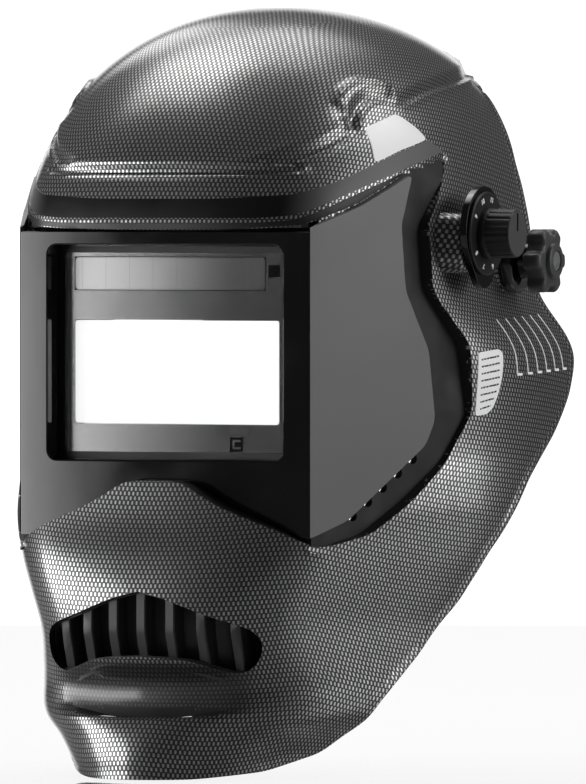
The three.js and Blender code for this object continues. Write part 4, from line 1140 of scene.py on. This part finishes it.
def make_shade_knob():
    """Fluted knob with a flat grey end and a pointer groove."""
    base, top, middle, steps = SHADE_DIAL_X + GAP, SHADE_KNOB_X, (0, SHADE_Y, SHADE_Z), 144
    flutes = np.maximum(0, np.cos(18 * np.arange(steps) * 2 * math.pi / steps)) ** 2
    profile = [(base, 10.6, 0), (base + 1.6, 10.6, 0), (base + 2.2, 10.2, 0), (base + 2.8, 10.1, 0.5),
               (top - 1.4, 9.9, 0.5), (top - 0.5, 9.7, 0.2), (top, 9.2, 0)]
    knob = loft("knob", [round_ring("X", x, radius - depth * flutes, steps, middle)
                         for x, radius, depth in profile])
    pointer = block((top - 0.6, SHADE_Y - 0.7, SHADE_Z + 1), (top + 2, SHADE_Y + 0.7, SHADE_Z + 8.4))
    knob = cut(knob, pointer, rod(base - 1, base + 8, 3.3, middle))
    for face in knob.data.polygons:
        face.material_index = int(face.center.x > top - 0.7 and face.normal.x > 0.9)
    finish_piece(knob, "shade_knob_fluted", "shade_turn", [MATT, KNOB_END], ["shade_knob"])


# ---------------------------------------------------------------- pivots
STAR = 28.4  # diameter over the lobes
LOBES = 6
LOBE_DEPTH = 1.7
LOBE_SQUARENESS = 2.2


def make_collar(side, name):
    """Stepped washer between the shell and the star knob."""
    profile = [[98.6, 13.1], [98.9, 13.4], [101.2, 13.4], [101.8, 13.1], [103.2, 11.8], [103.5, 11.2],
               [103.7, 8.4], [104.2, 7.6], [108.2, 7], [108.5, 6.7]]
    collar = turned("collar", [[side * x, r] for x, r in profile], 64)
    collar = cut(collar, rod(-130, 130, 4.3, (0, 0, 0)))
    finish_piece(collar, "collar_" + name, "mask", [GLOSS], ["pivot_collar_" + name])


def make_star_knob(side, name):
    """Six-lobed tension knob with rounded lobes, a raised hub and a through hole."""
    steps = LOBES * 24
    angles = np.arange(steps) * 2 * math.pi / steps
    radii = STAR / 2 - LOBE_DEPTH + LOBE_DEPTH * np.tanh(LOBE_SQUARENESS * np.cos(LOBES * angles))
    profile = [(109, 1.1), (109.3, 0.4), (110, 0), (115.2, 0), (116.2, 0.5), (116.8, 1.4), (117, 2.6)]
    lobes = loft("lobes", [round_ring("X", side * x, radii - inset, steps) for x, inset in profile])
    hub_profile = [[109, 7.4], [117.6, 7.4], [118.6, 7.0], [119, 6.3]]
    hub = turned("hub", [[side * x, radius] for x, radius in hub_profile], 64)
    knob = cut(join(lobes, hub), rod(-130, 130, 4.25, (0, 0, 0), 48))
    finish_piece(knob, "star_" + name, "star_" + name, [STAR_GREY], ["star_knob_" + name])


# ---------------------------------------------------------------- printed films on the shell
FILM = 0.18
BAND_FILM = [[-190, 25.8], [-134, 25.8], [-130, 26.8], [-124, 27.5], [-118, 29.4], [-105, 33.3],
             [-86.5, 39.9], [-71.4, 44.9], [-51, 49.7], [-44, 45.2], [-55, 42.5], [-75, 37], [-90, 32.6],
             [-108, 26.4], [-121, 21.2], [-127, 19], [-133, 17.9], [-190, 17.4]]
PATCH_FILM = [[-86.5, 40.4], [-71.4, 45.4], [-51.5, 50.1], [-55, 55], [-62, 60.6], [-82.8, 54.6], [-84, 48]]
LINED_FILM = [[-44.6, -37.4], [-31.2, -36], [-28.9, -37.8], [-29.4, -41.5], [-30.3, -48], [-32.5, -54.9],
              [-35.2, -60], [-38.8, -62.6], [-45.4, -63.4], [-44.9, -48.6]]
LIP_FILM = [[-190, 13.3], [-137, 13.3], [-125, 15.3], [-100, 23.9], [-68, 38.3], [-50, 42],
            [-55, 41.4], [-75, 35.8], [-90, 31.2], [-108, 24.8], [-121, 19.5], [-127, 17.2],
            [-133, 16.1], [-190, 15.6]]
HOOK = [[-24.5, -24], [-22, -28.6], [-20.3, -34], [-19.5, -38.4], [-19.3, -46.6]]
HOOKS = 6
HOOK_PITCH = 8.6
SLOTS = 8  # dark lines across the plate
SLOT_TOP = -39.6
SLOT_PITCH = 2.9


def stroke(line, width):
    """Closed outline of a line with a width."""
    line = np.asarray(line, float)
    run = np.gradient(line, axis=0)
    normal = np.stack([-run[:, 1], run[:, 0]], 1) / np.linalg.norm(run, axis=1)[:, None]
    return np.concatenate([line + normal * width / 2, (line - normal * width / 2)[::-1]])


def make_films(fine, high):
    """Printed films: band and lip over the brow; a patch, a lined plate and hooks on each side."""
    layer = cut(skin_body("film", -FILM, fine, high, shell_relief),
                skin_body("under", -0.01, fine, high, shell_relief))

    def film(outline, low=-FAR, end=FAR):
        return common(copy_of(layer), prism("film", outline, "X", low, end))

    finish_piece(film(BAND_FILM), "brow_band_film", "mask", [BAND_GREY])
    finish_piece(film(LIP_FILM), "brow_lip_film", "mask", [MATT])
    for side, name in SIDES:
        ends = sorted((side * 40, side * FAR))
        finish_piece(film(rounded(PATCH_FILM, 2.5), *ends), "patch_film_" + name, "mask",
                     [PALE_FILM])
        slots = []
        for i in range(SLOTS):
            z = SLOT_TOP - SLOT_PITCH * i
            right = -31.6 - max(0, i - 3) ** 1.6 * 0.55
            slots.append(prism("slot", stroke([[-43, z - 0.75], [right, z + 0.75]], 0.75), "X", *ends))
        plate = film(rounded(LINED_FILM, 1.6), *ends)
        finish_piece(cut(plate, *slots), "lined_film_" + name, "mask", [WHITE_FILM])
        hooks = []
        for i in range(HOOKS):
            line = smooth_line(HOOK) + [HOOK_PITCH * i, 0.35 * i]
            foot = [[line[-1][0] - 0.2, line[-1][1]], [line[-1][0] + 3.8, line[-1][1]]]
            hook = join(prism("hook", stroke(line, 0.5), "X", *ends),
                        prism("foot", stroke(foot, 1.0), "X", *ends))
            hooks.append(common(copy_of(layer), hook))
        finish_piece(merge("hooks", hooks), "hook_film_" + name, "mask", [WHITE_FILM])
    discard(layer)


# ---------------------------------------------------------------- headgear
BAND_HALF = 81
BAND_MIDDLE = 4
BAND_DEPTH = 92
BAND_WALL = 2
STRAP_STEP = 1.5  # degrees from ring to ring
TAIL_START = 118
LINK_START = 104
LINK_END = 132
RATCHET_Z = -27
CROWN_FOOT = 14
CROWN_RISE = 74


def band_height(degrees):
    """Height of the middle of the band at angles round from the forehead."""
    a = np.abs(degrees)
    front = 24 - 18 * ease(a, 0, 88)
    rear = 6 + (RATCHET_Z - 6) * ease(a, 88, 148)
    return np.where(a < 88, front, rear)


def band_points(degrees, out, rise):
    """Points of the band at angles round from the forehead, moved outwards and upwards."""
    degrees, out, rise = np.broadcast_arrays(np.asarray(degrees, float), out, rise)
    a = np.radians(degrees)
    normal = np.stack([np.sin(a) / BAND_HALF, -np.cos(a) / BAND_DEPTH], -1)
    normal /= np.linalg.norm(normal, axis=-1)[..., None]
    return np.stack([BAND_HALF * np.sin(a) + normal[..., 0] * out,
                     BAND_MIDDLE - BAND_DEPTH * np.cos(a) + normal[..., 1] * out,
                     band_height(degrees) + rise], -1)


def strap(name, start, end, half, offset, wall, corner=0.7):
    """Strap with rounded edges that follows the band; half and offset are functions of the angle."""
    degrees = np.linspace(start, end, max(3, int(abs(end - start) / STRAP_STEP)))
    rings = []
    for d in degrees:
        outline = np.array(rounded_rectangle((offset(d), -half(d)), (offset(d) + wall, half(d)), corner, 4))
        rings.append(band_points(d, outline[:, 0], outline[:, 1]))
    return loft(name, rings)


def band_half(degrees):
    return 15 - 3 * min(abs(degrees) / 88, 1)


def crown_strap(side, lift, top):
    """Half of the crown strap, from the pivot up over the head; its end lies over the other half's."""
    rings = []
    for t in np.linspace(0, 1, 60):
        a = math.radians(top * t)
        lifted = lift * min(1, max(0, (t - 0.6) * 4))
        outline = rounded_rectangle((0, -4), (BAND_WALL, 18), 0.7, 4)
        rings.append([[side * (BAND_HALF - 1.6 + out) * math.cos(a), y,
                       CROWN_FOOT + (CROWN_RISE + out + lifted) * math.sin(a)] for out, y in outline])
    return loft("crown_strap", rings)


def crown_holes():
    """Row of setting holes through the overlapping ends of the crown strap."""
    return [rod(60, 110, 2.1, (8.5 * step, 7, 0), 20, "Z") for step in range(-4, 5)]


def make_headband():
    """Front of the band with its pivot pads and airing holes, and the crown strap."""
    band = strap("band", -LINK_START, LINK_START, band_half, lambda d: 0, BAND_WALL)
    pads = [rod(*sorted((side * 79.9, side * 83)), 15, (0, 0, 0), 48) for side in (1, -1)]
    band = join(band, *pads, crown_strap(1, 0, 98), crown_strap(-1, 2.5, 98))
    vents = []
    for d in (-34, -22, -10, 10, 22, 34):
        x, y, z = band_points(d, 0, 0)
        vents.append(rod(y - 12, y + 12, 3.2, (x, 0, z), 20, "Y"))
    band = cut(band, block((-120, -4.6, -4.6), (120, 4.6, 4.6)), *crown_holes(), *vents)
    finish_piece(band, "headband_straps", "headgear", [BAND_PLASTIC], ["headband"])


def make_tails():
    """Rear ends of the band, and a link on each side that spans from the band's end to its rear end."""
    for side, name in SIDES:
        def step(d):
            return 2.5 * min(1, max(0, (abs(d) - 134) / 12)) if side > 0 else 0

        def half(d):
            return 11.8 - 1.8 * min(1, max(0, abs(d) - TAIL_START) / 20)

        tail = strap("tail", side * LINK_END, side * 197, half, step, BAND_WALL)
        outline = rounded_rectangle((-24, RATCHET_Z - 4.6), (24, RATCHET_Z + 4.6), 2)
        slot = prism("slot", outline, "Y", 85, 110)
        finish_piece(cut(tail, slot), "rear_strap_" + name, "tail_" + name, [BAND_PLASTIC],
                     ["band_tail_" + name])
        link = strap("link", side * (LINK_START - 1), side * (LINK_END + 1), half, lambda d: 0.02,
                     BAND_WALL - 0.04)
        to_metres(link, "strap_link_" + name)
        link.data.materials.append(BAND_PLASTIC)
        start = band_points(side * (LINK_START + 2), 0, 0) * METRES
        end = band_points(side * (LINK_END - 2), 0, 0) * METRES
        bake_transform(link)


def make_ratchet():
    """Housing and cover of the ratchet, and its fluted knob."""
    housing = strap("housing", 157, 203, lambda d: 17, lambda d: 4.9, 6, 1.6)
    rails = [strap("rail", 157, 203, lambda d: 3.2, lambda d: -0.1, 5.5, 0.6) for _ in range(2)]
    for rail, sign in zip(rails, (1, -1)):
        rail.data.transform(Matrix.Translation((0, 0, sign * 13.8)))
    housing = cut(join(housing, *rails), rod(90, 130, 4.4, (0, 0, RATCHET_Z), 32, "Y"))
    finish_piece(housing, "ratchet_case", "headgear", [BAND_PLASTIC], ["ratchet_housing"])
    cover = cut(strap("cover", 157, 203, lambda d: 17, lambda d: -2.6, 2.2, 0.8),
                rod(80, 130, 2.2, (0, 0, RATCHET_Z), 24, "Y"))
    finish_piece(cover, "ratchet_pad_plate", "headgear", [BAND_PLASTIC], ["ratchet_cover"])
    steps = 240
    flutes = np.cos(20 * np.arange(steps) * 2 * math.pi / steps)
    middle = (0, 0, RATCHET_Z)
    profile = [(107.3, 17.6, 0.3), (108, 18.5, 0.9), (118.8, 18.2, 0.9), (120.4, 17.6, 0.7),
               (121.6, 16.6, 0.3), (123.2, 15.2, 0), (124.2, 13.2, 0), (124.5, 11.5, 0),
               (124.0, 9.5, 0), (123.4, 8.8, 0), (123.2, 6, 0)]
    rings = [round_ring("Y", y, radius + height * flutes, steps, middle) for y, radius, height in profile]
    knob = cut(loft("knob", rings), rod(100, 118, 3.1, middle, 32, "Y"))
    finish_piece(knob, "ratchet_dial", "ratchet", [STAR_GREY], ["ratchet_knob"])


# ---------------------------------------------------------------- sweatband
PAD_VOXEL = 4.5
PAD_PRESSURE = 4
PAD_FRAMES = 20
PAD_CAP = 1.6  # millimetres that a point may move as the pad swells


def make_sweatband():
    """Terry pad inside the forehead, swollen by the cloth simulation."""
    pad = strap("pad", -58, 58, lambda d: 15.6, lambda d: -6.6, 5.4, 2)
    remesh = pad.modifiers.new("remesh", "REMESH")
    remesh.mode = "VOXEL"
    remesh.voxel_size = PAD_VOXEL
    bake(pad)
    swell(pad)
    smooth = pad.modifiers.new("smooth", "SUBSURF")
    smooth.levels = 1
    bake(pad)
    piece = finish_piece(pad, "sweatband_pad", "headgear", [FABRIC], ["sweatband"], sharp=60)


def swell(item):
    """Blows a closed cloth up a little with the Cloth simulation, in metres, and caps its movement."""
    item.data.transform(Matrix.Scale(METRES, 4))
    rest = read_all(item.data.vertices, "co")
    cloth = item.modifiers.new("cloth", "CLOTH")
    cloth.settings.use_pressure = True
    cloth.settings.uniform_pressure_force = PAD_PRESSURE
    cloth.settings.effector_weights.gravity = 0
    cloth.point_cache.frame_end = PAD_FRAMES
    scene = bpy.context.scene
    for step in range(1, PAD_FRAMES + 1):
        scene.frame_set(step)
    bake(item)
    scene.frame_set(1)
    shift = read_all(item.data.vertices, "co") - rest
    length = np.linalg.norm(shift, axis=1)
    shift *= np.minimum(1, PAD_CAP * METRES / np.maximum(length, 1e-9))[:, None]
    item.data.vertices.foreach_set("co", ((rest + shift) / METRES).ravel())


# ---------------------------------------------------------------- control cable
CABLE_RADIUS = 1.5
CABLE_STEPS = 8  # points from one point of the route to the next
CABLE_ROUTE = [[78.6, -44, 11.4], [76.5, -52, 12], [76, -66, 14], [70, -84, 17], [62, -95, 15],
               [54, -100, 7], [47, -102.5, 2.5], [46.5, -106.2, 2]]


def make_cable():
    """Control cable inside the shell, from the potentiometer to the cartridge."""
    points = smooth_line(CABLE_ROUTE, CABLE_STEPS) * METRES
    curve = bpy.data.curves.new("cable", "CURVE")
    curve.dimensions = "3D"
    curve.bevel_depth = CABLE_RADIUS * METRES
    curve.bevel_resolution = 5
    curve.use_fill_caps = True
    line = curve.splines.new("POLY")
    line.points.add(len(points) - 1)
    for spot, point in zip(line.points, points):
        spot.co = (*point, 1)
    curve.materials.append(RUBBER)
    cable = placed("cable_sleeve", curve)
    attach(cable, "mask")
    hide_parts("control_cable")


# ---------------------------------------------------------------- stage
CAMERA_AZIMUTH = math.radians(25)
CAMERA_ELEVATION = math.radians(1)
CAMERA_DISTANCE = 5.0
CAMERA_LENS = 562.5
AIM_RIGHT = 0.04735
AIM_DOWN = 0.00816
FLOOR_Z = -0.2105
FLOOR_RADIUS = 1.6
WORLD_DIM = 0.06
WORLD_PALE = 1.15
WORLD_CONE = (0.93, 0.995)  # cosines off the view's axis where the dim and the pale part begin
LIGHTS = [
    {"name": "left_box", "azimuth": -53.5, "elevation": -4, "distance": 1.1, "size": (1.22, 1.0),
     "power": 28, "soft": (0.10, 0.42)},
    {"name": "dome_box", "azimuth": -105, "elevation": 66, "distance": 1.2, "size": (0.9, 0.8),
     "power": 9, "soft": (0.42, 0.42)},
    {"name": "top_box", "azimuth": -155, "elevation": 62, "distance": 1.3, "size": (1.3, 1.1),
     "power": 11, "soft": (0.4, 0.4)},
    {"name": "right_box", "azimuth": 106, "elevation": 16, "distance": 1.4, "size": (1.0, 1.4),
     "power": 17, "soft": (0.4, 0.42)},
    {"name": "rear_box", "azimuth": 125, "elevation": 50, "distance": 1.3, "size": (0.8, 0.8),
     "power": 8, "soft": (0.4, 0.4)},
    {"name": "back_box", "azimuth": -140, "elevation": 34, "distance": 1.6, "size": (0.6, 0.8),
     "power": 3, "soft": (0.4, 0.4)},
]
LIGHT_TARGET = Vector((0, -0.04, -0.05))


def direction(azimuth, elevation):
    """Way out from the middle, at an azimuth from the front towards the wearer's left."""
    return Vector((math.sin(azimuth) * math.cos(elevation), -math.cos(azimuth) * math.cos(elevation),
                   math.sin(elevation)))


def look_along(item, way):
    item.rotation_mode = "QUATERNION"
    item.rotation_quaternion = way.to_track_quat("-Z", "Y")


def make_camera():
    """Camera where the photograph was taken: far away with a long lens."""
    back = direction(CAMERA_AZIMUTH, CAMERA_ELEVATION)
    right = Vector((math.cos(CAMERA_AZIMUTH), math.sin(CAMERA_AZIMUTH), 0))
    up = back.cross(right)
    aim = VIEW_CENTRE * METRES + right * AIM_RIGHT - up * AIM_DOWN
    data = bpy.data.cameras.new("camera")
    data.lens = CAMERA_LENS
    data.clip_start = 0.1
    data.clip_end = 100
    camera = placed("camera", data)
    camera.location = aim + back * CAMERA_DISTANCE
    look_along(camera, -back)
    bpy.context.scene.camera = camera


def make_world():
    """Pale studio: brightest behind the object, dimmer on the camera's side."""
    world = bpy.data.worlds.new("studio")
    bpy.context.scene.world = world
    n = Nodes("studio", world)
    towards = n.add("VectorMath", operation="DOT_PRODUCT")
    n.link(n.add("TexCoord").outputs["Generated"], towards.inputs[0])
    towards.inputs[1].default_value = (-math.sin(CAMERA_AZIMUTH), math.cos(CAMERA_AZIMUTH), 0)
    pale = n.remap(towards.outputs["Value"], *WORLD_CONE, 0, 1, True)
    n.link(n.mix(pale, grey(WORLD_DIM), grey(WORLD_PALE)), n.tree.nodes["Background"].inputs["Color"])


def make_light(name, azimuth, elevation, distance, size, power, soft):
    """Soft box that faces the helmet, at an azimuth from the front towards the wearer's left.
    It fades out over the shares `soft` of its width and height."""
    way = direction(math.radians(azimuth), math.radians(elevation))
    data = bpy.data.lights.new(name, "AREA")
    data.shape = "RECTANGLE"
    data.size, data.size_y = size
    data.energy = power
    n = Nodes(name, data)
    place = n.split(n.add("NewGeometry").outputs["Parametric"])
    fades = []
    for axis in (0, 1):
        from_middle = n.math("ABSOLUTE", n.math("SUBTRACT", place[axis], 0.5))
        fades.append(n.remap(from_middle, 0.5 - soft[axis], 0.5, 1, 0, True))
    n.link(n.math("MULTIPLY", *fades), n.tree.nodes["Emission"].inputs["Strength"])
    light = placed(name, data)
    light.location = LIGHT_TARGET + way * distance
    look_along(light, -way)
    light.visible_camera = False


def make_floor():
    """Pale polished floor; seen at a low angle it mirrors the bright backdrop."""
    n = Nodes("pale_floor")
    n.set(Base_Color=n.mix(n.noise(3, 3), grey(0.44), grey(0.46)), IOR=1.8,
          Roughness=n.remap(n.noise(5, 3), 0, 1, 0.03, 0.05))
    floor = mesh_object("floor", round_ring("Z", FLOOR_Z, FLOOR_RADIUS, 96), [list(range(96))])
    floor.data.materials.append(n.owner)


def make_stage():
    make_world()
    make_floor()
    for setting in LIGHTS:
        make_light(**setting)
    bpy.context.scene.view_settings.view_transform = "Standard"


# ---------------------------------------------------------------- assembly
make_camera()
make_cable()
paint_cad_nodes()
shell = make_shell()
add_weave_coordinates(shell)
split_shell_faces(shell)
finish_piece(shell, "face_shell", "mask", [WOVEN, LINING], ["shell"], sharp=30)
make_front_panel()
make_side_windows()
make_filter_face()
make_vent_grille()
make_shade_housing()
make_shade_dial()
make_shade_knob()
for sign, hand in SIDES:
    make_collar(sign, hand)
    make_star_knob(sign, hand)
make_films(*SHELL_GRID)
make_headband()
make_tails()
make_ratchet()
make_sweatband()
make_stage()
